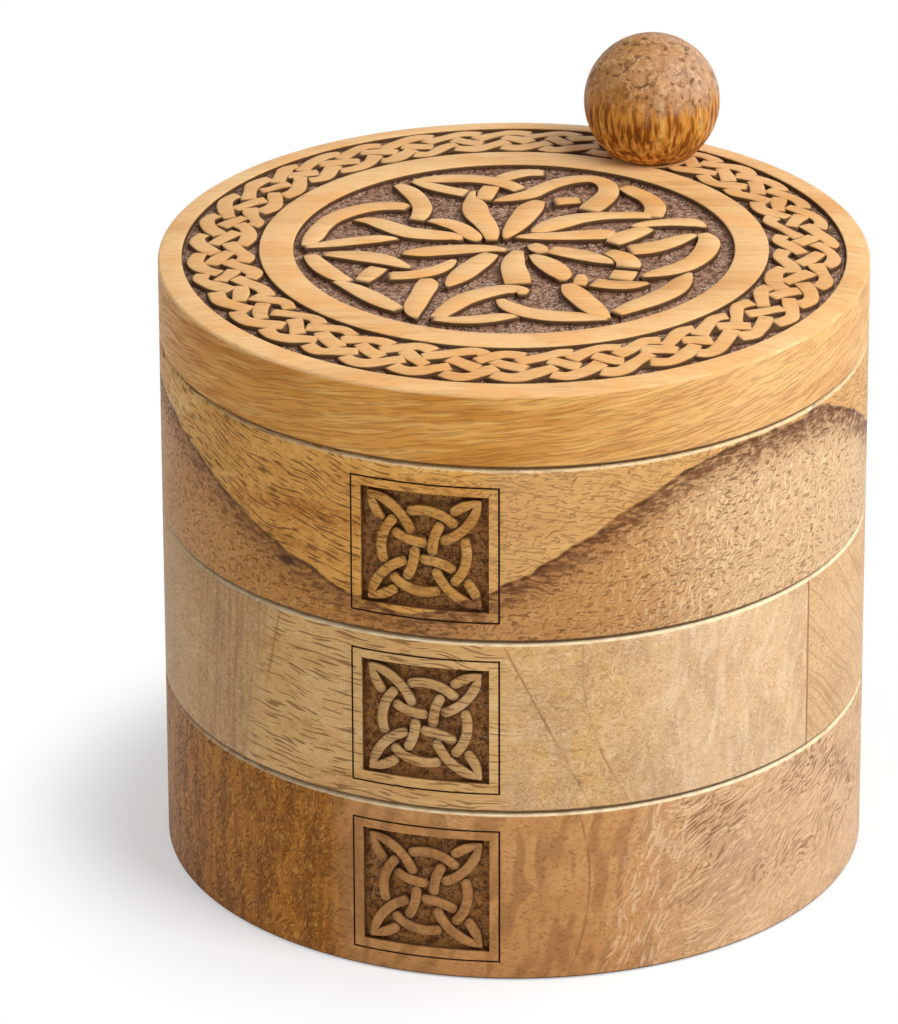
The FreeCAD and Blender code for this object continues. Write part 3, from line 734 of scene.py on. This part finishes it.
def new_material(name):
    """A material without a shader yet, and the wire of its places in millimetres."""
    material = bpy.data.materials.new(name)
    material.use_nodes = True
    material.node_tree.nodes.clear()
    place = Wire(material.node_tree).node("TexCoord", None, None, 3)
    return material, place.stretched(1 / MM, 1 / MM, 1 / MM)


BUMP_STRENGTH = 0.7


def close_material(colour, roughness, height, lift, fixed):
    """Joins the shader, with its fixed values, to the material's output."""
    relief = {"Height": height, "Strength": BUMP_STRENGTH, "Distance": lift * MM}
    inputs = {"Base Color": colour, "Roughness": roughness, "Normal": colour.node("Bump", None, relief)}
    shader = colour.node("BsdfPrincipled", None, inputs | fixed)
    shader.node("OutputMaterial", None, {"Surface": shader})


# Woods of the lid, the trays, the floor boards and the ball. The turn, in degrees, lays the grain along
# the pattern's first axis. Pores are given by length, width and how rare they are.
WOODS = {
    "honey_lid_wood": {
        "turn": (0, 0, -14), "shift": (0, 40, -60),
        "tones": [(208, 154, 94), (231, 185, 127), (243, 207, 153)],
        "pores": [(4.6, 0.6, 0.68), (2.6, 0.45, 0.7)], "pore_share": 0.6, "pore_tone": (128, 78, 34),
        "streaks": 0.45, "ring_share": 0.05, "ring_width": 8.0,
    },
    "heartwood_upper_wood": {
        "turn": (0, 3, -12), "shift": (20, 60, -30),
        "tones": [(174, 112, 44), (212, 154, 76), (234, 190, 116)],
        "pores": [(3.2, 0.5, 0.7), (1.9, 0.4, 0.71)], "pore_share": 0.75, "pore_tone": (96, 56, 26),
        "streaks": 0.6, "ring_share": 0.06, "ring_width": 7.0,
    },
    "straw_middle_wood": {
        "turn": (0, 4, -8), "shift": (-40, 30, 80),
        "tones": [(180, 132, 74), (208, 164, 106), (226, 192, 142)],
        "pores": [(3.8, 0.5, 0.7), (2.2, 0.4, 0.71)], "pore_share": 0.7, "pore_tone": (118, 76, 40),
        "streaks": 0.55, "ring_share": 0.05, "ring_width": 7.0,
    },
    "amber_lower_wood": {
        "turn": (0, -12, 8), "shift": (70, -20, 40),
        "tones": [(152, 92, 36), (192, 134, 70), (218, 168, 106)],
        "pores": [(3.0, 0.52, 0.69), (1.8, 0.42, 0.7)], "pore_share": 0.65, "pore_tone": (104, 62, 28),
        "streaks": 0.65, "ring_share": 0.06, "ring_width": 6.0,
    },
    "plain_floor_wood": {
        "turn": (0, 0, 30), "shift": (15, 50, 20),
        "tones": [(176, 134, 84), (208, 170, 118), (226, 194, 146)],
        "pores": [(4.2, 0.45, 0.69), (2.6, 0.36, 0.71)], "pore_share": 0.5, "pore_tone": (120, 82, 44),
        "streaks": 0.5, "ring_share": 0.05, "ring_width": 9.0,
    },
    "knob_end_grain_wood": {
        "turn": (0, 90, 0), "shift": (120, -50, -10),
        "tones": [(120, 72, 34), (182, 122, 64), (206, 158, 102)],
        "pores": [(3.4, 0.5, 0.62), (1.8, 0.4, 0.66)], "pore_share": 0.75, "pore_tone": (82, 48, 24),
        "streaks": 1.0, "ring_share": 0.08, "ring_width": 4.0,
    },
}
WOOD_GLOSS = 0.13
WOOD_ROUGHNESS = 0.44
WOOD_LIFT = 0.16
# Dark brown painted as shade in carved cuts, on carved sides and along the rings' lower edges
PAINTED_SHADE_BROWN = (58, 30, 14)
CREAM = (246, 226, 186)
LID_GROUND = [(86, 56, 42), (160, 122, 98), (208, 182, 162)]
PANEL_GROUND = [(96, 56, 24), (158, 106, 54), (160, 128, 92)]


def timber(name, patch=None, carving=None):
    """Waxed hardwood: broad tone, growth bands, fibre streaks and open pores along the grain.

    The patch changes the colour and the pores by place, and the carving says where the wood is cut.
    """
    wood = WOODS[name]
    material, place = new_material(name)
    angles = tuple(math.radians(angle) for angle in wood["turn"])
    grain = place.node("Mapping", None, {"Vector": place, "Rotation": angles, "Location": wood["shift"]})
    grain = grain.pushed(grain.stretched(0.012, 0.03, 0.03), (0, 7, 7))
    broad = grain.stretched(0.006, 0.045, 0.045).cloud()
    streak = grain.stretched(0.02, 0.9, 0.9).cloud(1, 4, 0.6)
    fibre = grain.stretched(0.16, 5, 5).cloud()
    _, side, deep = grain.parts()
    reach = (side * side + deep * deep).root()
    rings = (reach * (TURN / wood["ring_width"]) + broad * 7).sine()
    level = 0.5 + (broad - 0.5) * 1.1 + (streak - 0.5) * (wood["streaks"] * 1.3)
    level = level + (fibre - 0.5) * 0.35 + rings * wood["ring_share"]
    dark, medium, pale = wood["tones"]
    colour = level.between(0.15, 0.55).blend(shade(*dark), shade(*medium))
    colour = level.between(0.5, 0.95).blend(colour, shade(*pale))
    long_pores, short_pores = (grain.flecks(0, *size) for size in wood["pores"])
    holes = long_pores.most(short_pores)
    if patch:
        colour, holes = patch(place, colour, holes)
    colour = (holes * wood["pore_share"]).blend(colour, shade(*wood["pore_tone"]))
    roughness = WOOD_ROUGHNESS + (streak - 0.5) * 0.2 + holes * 0.2
    height = fibre * 0.25 - holes
    if carving:
        ground, line, (dark, pale, dust) = carving(place)
        chips = place.cloud(0.8, 4, 0.7)
        dusty = place.cloud(0.35).between(0.35, 0.6)
        specks = place.cloud(2.2).between(0.52, 0.64) * (0.25 + dusty * 0.6)
        cut = chips.between(0.4, 0.6).blend(shade(*dark), shade(*pale))
        cut = specks.blend(cut, shade(*dust))
        # The carving's line share is painted shade, laid in the dark brown.
        colour = layered(colour, [(ground, cut), (line, PAINTED_SHADE_BROWN)])
        roughness = roughness + ground * 0.35
        height = height + ground * (chips - 0.5) * 2.5
    close_material(colour, roughness, height, WOOD_LIFT, {"Specular IOR Level": WOOD_GLOSS})
    return material


def lid_carving(place):
    """Dark ground below the lid's top face, and painted shade on the cut sides beside what is left standing
    and where strands dip under.
    """
    x, y, z = place.parts()
    reach = (x * x + y * y).root()
    fall = ((reach - DOME_START) / (RADIUS - DOME_START)).most(0)
    depth = LID_TOP - z - fall * fall * DOME_DROP
    inside = 1 - reach.between(BORDER_OUTER + 0.1, BORDER_OUTER + 0.5)
    ground = depth.between(0.3, 0.95) * inside * (1 - depth.between(2.6, 3))
    # Painted shade on the cut sides of bands and strands, and in the dips where strands pass under.
    line = depth.between(0.06, 0.3) * (1 - depth.between(0.8, 1.2)) * inside * 0.9
    return ground, line, LID_GROUND


def panel_carving(middle):
    """Dark ground in a panel's pocket, and painted shade in the cut line round its frame and on the strands'
    sides.
    """

    def carving(place):
        x, y, z = place.parts()
        across, up = abs(x), abs(z - middle)
        depth = RADIUS - (x * x + y * y).root()
        front = 1 - y.between(-58, -57)
        window = front * (1 - across.between(13.7, 14)) * (1 - up.between(13.2, 13.5))
        pocket = (1 - across.between(12.2, 12.6)) * (1 - up.between(11.6, 12)) * window
        strand_tops = 0.35 * depth.between(0.05, 0.2) * pocket
        ground = (depth.between(0.35, 1.15) * pocket).most(strand_tops)
        # Painted shade in the cut outline of the frame and on the carved strands' sides.
        painted_frame_line_shade = depth.between(0.02, 0.12) * (window - pocket).most(0)
        painted_strand_side_shade = depth.between(0.25, 0.55) * (1 - depth.between(0.9, 1.3)) * pocket * 0.8
        return ground, painted_frame_line_shade.most(painted_strand_side_shade), PANEL_GROUND

    return carving


def wall_places(place, sway=5):
    """Degrees round from the panels' middle, height, reach, and places laid flat along the wall."""
    x, y, z = place.parts()
    angle = x.turn_from(0 - y)
    reach = (x * x + y * y).root()
    drift = (place.cloud(0.07, 1) - 0.5) * sway
    flat = place.node("CombineXYZ", None, {0: angle * RADIUS, 1: z + drift, 2: reach})
    return angle * math.degrees(1), z, reach, flat


def front_share(angle):
    """1 round the front and sides, easing to 0 at the back, where the degrees jump."""
    return 1 - abs(angle).between(148, 177)


def back_joint(angle):
    """The glue joint at the back of a tray."""
    return abs(angle).between(179.6, 179.8)


def painted_foot_shade(z, reach, low):
    """A painted shade line along a ring's lower edge: the shade of the gap beneath it, and of the floor
    under the lowest ring.
    """
    return (1 - z.between(low + 0.2, low + 0.5)) * reach.between(RADIUS - 1.2, RADIUS - 0.8) * 0.8


def edge_layers(place, angle, z, reach, tier, least=0.35, share=1):
    """A tray's rim, worn pale with a painted highlight that is strongest on the lit side, and the layers of
    the rim and the painted shade at the foot.
    """
    top = tier["high"]
    # Painted highlight: the worn rim is painted paler toward the lit right side.
    lit = angle.between(-80, 10) * front_share(angle)
    patchy = (place.cloud(0.4) + 0.15) * (least + lit * (1.25 - least))
    edge = z.between(top - 0.65, top - 0.4) * reach.between(RADIUS - 2.2, RADIUS - 1.4)
    rim = (edge * patchy).least(1) * share
    return rim, [(rim, CREAM), (painted_foot_shade(z, reach, tier["low"]), PAINTED_SHADE_BROWN)]


# The photograph's figure in the wood piece by piece, with painted light and shade where noted. Places are
# degrees round from the panels' middle and heights in millimetres, and flecks are given by tilt, length,
# width and how rare they are.


def lid_patch(place, colour, holes):
    """Honey-coloured wood, golden and finely lined on the lid's side, with painted light making the side
    paler toward the right and long pale streaks of painted sheen.
    """
    angle, z, reach, flat = wall_places(place, 2)
    shoulder = LID_TOP - DOME_DROP - 0.5
    side = reach.between(RADIUS - 0.8, RADIUS - 0.4) * (1 - z.between(shoulder - 0.2, shoulder + 0.2))
    top = 1 - side
    amber = place.stretched(0.09, 0.16, 0.1).cloud().between(0.46, 0.66)
    border = reach.between(BORDER_INNER, BORDER_INNER + 0.6)
    border = border * (1 - reach.between(BORDER_OUTER - 0.6, BORDER_OUTER))
    # Painted light: the side's amber is painted weaker, so paler, toward the lit right.
    painted_light_right = angle.between(5, 60) * front_share(angle)
    stained = flat.stretched(0.05, 0.22, 0.1).cloud().between(0.42, 0.62)
    stained = stained * (1 - angle.between(10, 45) * 0.8)
    colour = layered(colour, [
        (amber * 0.5 * top, (226, 160, 88)),
        (border * 0.35, (208, 148, 84)),
        (side * (0.85 - painted_light_right * 0.65), (206, 140, 50)),
        (side * stained * 0.55, (178, 108, 26)),
        # Long pale streaks on the side: a painted sheen.
        (flat.flecks(7, 14, 0.9, 0.5, 0.2) * side * 0.34, (240, 196, 118)),
        # Painted shade along the lid's lower edge.
        (painted_foot_shade(z, reach, LID_LOW.z), PAINTED_SHADE_BROWN),
    ])
    lines = flat.flecks(9, 7, 0.3, 0.57, 0.12).most(flat.flecks(5, 4, 0.36, 0.64))
    return colour, (holes * top * 0.25).most(lines * side * 0.55)


V_FOOT = 70.0


def upper_patch(place, colour, holes):
    """Golden wood in the shape of a V at the front, dark along its edge, over speckled heartwood."""
    angle, z, reach, flat = wall_places(place)
    right = angle.between(-4, 0)
    away = ((angle + 2) / 52).most((angle + 2) / -62)
    climb = away.least(1) - (away - 1.4).most(0)
    curve = (1 - (climb * math.pi + math.pi / 2).sine()) * 0.5
    wobble = (flat.cloud(0.16) - 0.5) * 2.4
    above = z - (V_FOOT + (11.2 + right * 2.8) * (curve + abs(climb)) + wobble)
    inside = above.between(-0.4, 0.4)
    shown = 1 - abs(angle).between(112, 140)
    below = (1 - inside) * shown
    near_edge = above.between(-9, -1) * below

    curly = flat.swirled(5, 5)
    far_right = angle.between(20, 50)
    cream = curly.flecks(68, 2, 0.42, 0.54, 0.1) * below * (0.12 + far_right * 0.36)
    ragged = flat.stretched(0.35, 0.9, 0.5).cloud(1, 3, 0.6)
    clusters = (ragged + near_edge * 0.16).between(0.6, 0.68)
    line = above.near(-0.3, 0.6) * shown * (ragged * 2.2 - 0.5).least(0.8).most(0.15)
    knot_spot = ((angle + 24.3) * (angle + 24.3) * 0.4 + (z - 75.4) * (z - 75.4) * 1.6).root()
    rim, edges = edge_layers(place, angle, z, reach, TIERS["upper"], 0, 0.7)
    colour = layered(colour, [
        (inside * angle.between(6, 14) * 0.6, (206, 162, 108)),
        (below * 0.7, right.blend(shade(172, 117, 56), shade(176, 126, 78))),
        (below * angle.between(25, 60) * 0.6, (220, 188, 148)),
        (cream, (240, 212, 164)),
        (near_edge * (0.35 + right * 0.15), (144, 92, 54)),
        (near_edge * clusters * (0.35 + right * 0.3), (92, 50, 24)),
        (line, (78, 42, 18)),
        ((1 - knot_spot.between(0.7, 1.4)) * 0.9, (58, 32, 20)),
    ] + edges)

    fine = flat.stretched(0.6, 1.5, 0.8).cloud(1, 1) + near_edge * 0.13
    specks = fine.between(0.64, 0.7) * below * 0.85
    dashes = flat.flecks(-13, 3.6, 0.42, 0.6) * (inside * (0.95 - right * 0.5) + (1 - shown) * 0.5)
    dashes = dashes.most(curly.flecks(12, 1.7, 0.34, 0.63) * inside * right * 0.65)
    dots = curly.flecks(20, 1.4, 0.45, 0.64) * below * 0.6
    return colour, (holes * 0.5).most(dashes).most(specks).most(dots) * (1 - rim)


def middle_patch(place, colour, holes):
    """Straw-coloured wood, smoky at the left, pale at the right, with a glue joint beyond."""
    angle, z, reach, flat = wall_places(place)
    left_line = angle + 28.5 - (z - 52) * 0.2
    left = (1 - left_line.between(-5, 1)) * front_share(angle)
    right = angle.between(11, 15) * front_share(angle)
    past_joint = angle.between(69.3, 69.7)
    beyond = past_joint * front_share(angle)
    pale = angle.between(24, 44) * (1 - past_joint)

    smoke = flat.stretched(0.12, 0.05, 0.1).cloud().between(0.3, 0.65)
    streaky = flat.flecks(86, 12, 1.2, 0.46, 0.2) * left * angle.between(-52, -40)
    cloudy = flat.stretched(0.13, 0.07, 0.06).cloud(1, 3, 0.6).between(0.42, 0.6)
    veils = flat.swirled(12, 8).flecks(82, 9, 1.4, 0.46, 0.3)
    curly = flat.swirled(2.6, 7)
    curl_share = right * (1 - beyond * 0.7) * 0.24 + left * 0.18
    bowed = (61 - z).most(0)
    cracks = (angle - 13.5 + (z - 63.5) * 0.44).near(0, 0.3) * right
    cracks = cracks.most((angle - 25.3 - bowed * bowed * 0.0105).near(0, 0.3))
    cracks = cracks * (0.2 + flat.cloud(0.12).between(0.4, 0.6) * 0.5)
    joint = angle.near(69.5, 0.35).most(left_line.near(0, 0.4) * z.between(48, 54) * 0.5)
    joint = joint.most(back_joint(angle))
    rim, edges = edge_layers(place, angle, z, reach, TIERS["middle"])
    colour = layered(colour, [
        (left * (0.35 + smoke * 0.4), (178, 136, 90)),
        (streaky * 0.4, (134, 96, 60)),
        (pale * 0.5, (214, 184, 152)),
        (beyond * 0.55, (212, 174, 132)),
        (right * (1 - beyond) * cloudy * 0.5, (186, 148, 110)),
        (veils * right * (0.1 + pale * 0.18), (240, 214, 182)),
        (curly.flecks(40, 1.8, 0.36, 0.54, 0.14) * curl_share, (246, 226, 190)),
        (cracks.most(joint * 0.8), (140, 92, 52)),
    ] + edges)

    dashes = flat.flecks(-3, 5, 0.42, 0.61) * (1 - left) * (1 - right)
    specks = curly.flecks(-40, 1.8, 0.42, 0.61) * (right * (1 - pale * 0.4) * 0.5 + left * 0.5)
    slants = flat.flecks(-42, 24, 0.6, 0.56, 0.12) * beyond * 0.35
    return colour, (holes * 0.35).most(dashes).most(specks).most(slants) * (1 - rim)


def lower_patch(place, colour, holes):
    """Amber wood left of the panel, and tan with slanted dashes right of it."""
    angle, z, reach, flat = wall_places(place)
    right = angle.between(34, 44) * front_share(angle)
    rest = angle.between(-18, -11) * front_share(angle)
    left = 1 - rest
    curly = flat.swirled(4, 4)
    bent = flat.swirled(11, 7)

    uprights = flat.flecks(88, 16, 1.5, 0.46, 0.2)
    smears = flat.swirled(12, 8).flecks(82, 12, 2.4, 0.45, 0.2)
    grey = flat.stretched(0.06, 0.1, 0.06).cloud().between(0.45, 0.65)
    split = bent.flecks(68, 5, 0.6, 0.5, 0.16) * (angle - z * 0.25).near(33, 8)
    crack = (angle - 26.5 + (z - 19) * (z - 19) * 0.01).near(0, 0.3)
    grouped = flat.stretched(0.09, 0.14, 0.1).cloud().between(0.4, 0.58)
    rim, edges = edge_layers(place, angle, z, reach, TIERS["lower"])
    colour = layered(colour, [
        (left * angle.between(-84, -50) * 0.8, (162, 97, 8)),
        (uprights * left * 0.5, (112, 58, 8)),
        (left * smears * 0.45, (112, 66, 12)),
        (curly.flecks(76, 2.2, 0.36, 0.59, 0.1) * left * 0.4, (220, 166, 84)),
        (rest * 0.55, (180, 132, 86)),
        (rest * (1 - right) * smears * 0.5, (138, 92, 52)),
        (angle.between(26, 60) * front_share(angle) * 0.7, (214, 178, 140)),
        (grey * right * 0.45, (172, 136, 104)),
        (bent.flecks(26, 5, 0.5, 0.54, 0.12) * right * 0.42, (234, 200, 156)),
        (split * 0.34, (238, 210, 176)),
        (crack.most(back_joint(angle)) * (0.12 + grouped * 0.34), (120, 76, 40)),
    ] + edges)

    slants = bent.flecks(28, 6, 0.42, 0.56, 0.09) * right * z.between(4, 14) * 0.85
    slants = slants * (0.45 + grouped * 0.75)
    specks = curly.flecks(40, 1.8, 0.5, 0.62) * (left * 0.65 + 0.3)
    return colour, (holes * 0.5).most(slants).least(1).most(specks) * (1 - rim)


KNOB_BELT = 126.0


def knob_patch(place, colour, holes):
    """End grain: mottled above the ball's belt, and streaked from there down."""
    x, _, z = place.parts()
    ragged = (place.stretched(0.5, 0.5, 0.12).cloud() - 0.5) * 9
    upper = (z + ragged).between(KNOB_BELT - 2, KNOB_BELT + 2.5)
    grey = place.cloud(0.16).between(0.42, 0.62)
    # Greyish rosy at random, and painted light: the ball's right half, toward the lamps, painted paler and
    # greyer.
    rosy_grey_and_lit_right = (grey * 0.3 + x.between(10, 22) * 0.6).least(0.85)
    stains = place.swirled(3, 5).cloud(0.28).between(0.55, 0.66)
    mottle = place.cloud(0.9, 2, 0.6, 0.8)
    top_tone = layered(rosy_grey_and_lit_right.blend(shade(172, 118, 56), shade(184, 146, 118)), [
        (stains * 0.6, (112, 74, 40)),
        (mottle.between(0.52, 0.66) * 0.5, (222, 182, 130)),
        ((1 - mottle.between(0.32, 0.44)) * 0.65, (116, 72, 36)),
    ])
    drips = place.stretched(1, 1, 0.14).cloud(1, 1)
    low_tone = drips.between(0.36, 0.53).blend(shade(142, 80, 22), shade(212, 146, 62))
    low_tone = (drips.between(0.55, 0.68) * 0.7).blend(low_tone, shade(238, 190, 108))
    spots = place.cloud(0.8, 0).between(0.68, 0.74) * upper * 0.8
    return upper.blend(low_tone, top_tone), (holes * (1 - upper) * 0.6).most(spots)


def darker(colour, share):
    """A colour with less light in it."""
    return tuple(share * part for part in colour[:3]) + (1,)


def metal_finish(name, colour, rough):
    """Turned metal with fine drawn marks."""
    material, place = new_material(name)
    marks = place.stretched(2, 2, 14).cloud(1, 3)
    mixed = place.cloud(0.2).between(0.3, 0.7).blend(darker(colour, 0.72), colour)
    close_material(mixed, rough + (marks - 0.5) * 0.2, marks, 0.02, {"Metallic": 1})
    return material


def fibre_finish(name, colour):
    """Pressed fibre with small flecks."""
    material, place = new_material(name)
    flecks = place.stretched(1.5, 1.5, 4).cloud(1, 4, 0.7)
    mixed = flecks.between(0.35, 0.65).blend(darker(colour, 0.6), colour)
    close_material(mixed, 0.75 + (flecks - 0.5) * 0.2, flecks, 0.05, {})
    return material


def dress_node(name, material):
    """Gives a CAD node that stays in sight a finer material."""
    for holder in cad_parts[name].material_slots:
        holder.material = material


TRAY_WOODS = {
    "lower": ("amber_lower_wood", lower_patch),
    "middle": ("straw_middle_wood", middle_patch),
    "upper": ("heartwood_upper_wood", upper_patch),
}
lid_wood = timber("honey_lid_wood", lid_patch, lid_carving)
lid_body(lid_wood)
rosette(lid_wood)
plait(lid_wood)
floor_wood = timber("plain_floor_wood")
for tier_name, (wood_name, tray_patch) in TRAY_WOODS.items():
    tier = TIERS[tier_name]
    wall_wood = timber(wood_name, tray_patch, panel_carving(tier["middle"]))
    tray_wall(tier_name + "_tray_ring", tier, wall_wood)
    knot(tier_name + "_tray_knot", tier, wall_wood)
    tray_floor(tier_name + "_tray_board", tier, floor_wood)
ball(timber("knob_end_grain_wood", knob_patch))
steel = metal_finish("drawn_steel", shade(150, 148, 144), 0.34)
brass = metal_finish("turned_brass", shade(196, 158, 84), 0.3)
fibre = fibre_finish("pressed_fibre", shade(96, 70, 48))
for node_name in ("pivot_rod", "base_washer", "base_nut"):
    dress_node(node_name, steel)
dress_node("knob_insert", brass)
for node_name in ("lower_spacer", "middle_spacer", "upper_spacer", "knob_spacer"):
    dress_node(node_name, fibre)

# White surroundings, lamps from the upper right, and the photograph's camera, in metres and degrees
FLOOR_SIZE = 6.0
FLOOR_DROP = 0.0002
PAPER = (0.9, 0.9, 0.9, 1.0)
WHITE = (1.0, 1.0, 1.0, 1.0)
SHADOW_GLOW = 0.42
SKY_LIGHT = 0.36
LAMP_TARGET = 0.06
LAMPS = {
    "key": {"azimuth": 64, "elevation": 50, "distance": 1.0, "size": 0.45, "power": 7.6},
    "fill": {"azimuth": -30, "elevation": 34, "distance": 1.2, "size": 0.9, "power": 1.5},
    "back": {"azimuth": 112, "elevation": 34, "distance": 1.2, "size": 0.6, "power": 4.4},
}
CAMERA_TARGET = 0.062
CAMERA_AZIMUTH = 14.4
CAMERA_ELEVATION = 24.42
CAMERA_DISTANCE = 1.4476


def only_seen(start):
    """1 for what the camera sees, straight or mirrored or through glass, and 0 for light on the part."""
    seen, mirrored, through = (start.node("LightPath", None, None, output) for output in (0, 3, 6))
    return seen.most(mirrored).most(through)


def white_floor():
    """A floor that takes the shadow near the part, and is plain white further off and clear from below."""
    bm = bmesh.new()
    bmesh.ops.create_grid(bm, x_segments=1, y_segments=1, size=FLOOR_SIZE)
    bmesh.ops.translate(bm, vec=(0, 0, -FLOOR_DROP), verts=bm.verts)
    mesh = bpy.data.meshes.new("floor")
    bm.to_mesh(mesh)
    bm.free()
    floor = bpy.data.objects.new("floor", mesh)
    bpy.context.scene.collection.objects.link(floor)
    material, place = new_material("white_floor")
    x, y, _ = place.parts()
    away = (x * x + y * y).root()
    paper = place.node("BsdfDiffuse", None, {"Color": PAPER})
    glow = place.node("Emission", None, {"Color": WHITE, "Strength": 1.0})
    share = only_seen(place) * (SHADOW_GLOW + away.between(66.0, 100.0) * (1 - SHADOW_GLOW))
    above = place.node("MixShader", None, {0: share, 1: paper, 2: glow})
    underneath = place.node("NewGeometry", None, None, 6)
    clear = place.node("BsdfTransparent")
    surface = place.node("MixShader", None, {0: underneath, 1: above, 2: clear})
    surface.node("OutputMaterial", None, {"Surface": surface})
    mesh.materials.append(material)


def white_sky():
    """A world that is white to look at, and lights the part less."""
    world = bpy.data.worlds.new("studio")
    bpy.context.scene.world = world
    world.use_nodes = True
    world.node_tree.nodes.clear()
    start = Wire(world.node_tree)
    strength = SKY_LIGHT + only_seen(start) * (1 - SKY_LIGHT)
    sky = start.node("Background", None, {"Color": WHITE, "Strength": strength})
    start.node("OutputWorld", None, {"Surface": sky})


def set_up(name, data, target, azimuth, elevation, distance):
    """Adds a lamp or camera that looks at a height on the upright axis from a direction."""
    a, e = math.radians(azimuth), math.radians(elevation)
    back = Vector((math.sin(a) * math.cos(e), -math.cos(a) * math.cos(e), math.sin(e)))
    holder = bpy.data.objects.new(name, data)
    bpy.context.scene.collection.objects.link(holder)
    holder.location = Vector((0, 0, target)) + back * distance
    holder.rotation_euler = (-back).to_track_quat("-Z", "Y").to_euler()
    return holder


white_floor()
white_sky()
for lamp_name, lamp in LAMPS.items():
    light = bpy.data.lights.new(lamp_name, "AREA")
    light.energy = lamp["power"]
    light.size = lamp["size"]
    set_up(lamp_name, light, LAMP_TARGET, lamp["azimuth"], lamp["elevation"], lamp["distance"])
view = bpy.data.cameras.new("photo_view")
view.lens = 281.25
view.sensor_width = 36.0
view.shift_x = -0.0635
view.clip_end = 20.0
bpy.context.scene.camera = set_up(
    "photo_view", view, CAMERA_TARGET, CAMERA_AZIMUTH, CAMERA_ELEVATION, CAMERA_DISTANCE
)
bpy.context.scene.view_settings.view_transform = "Standard"
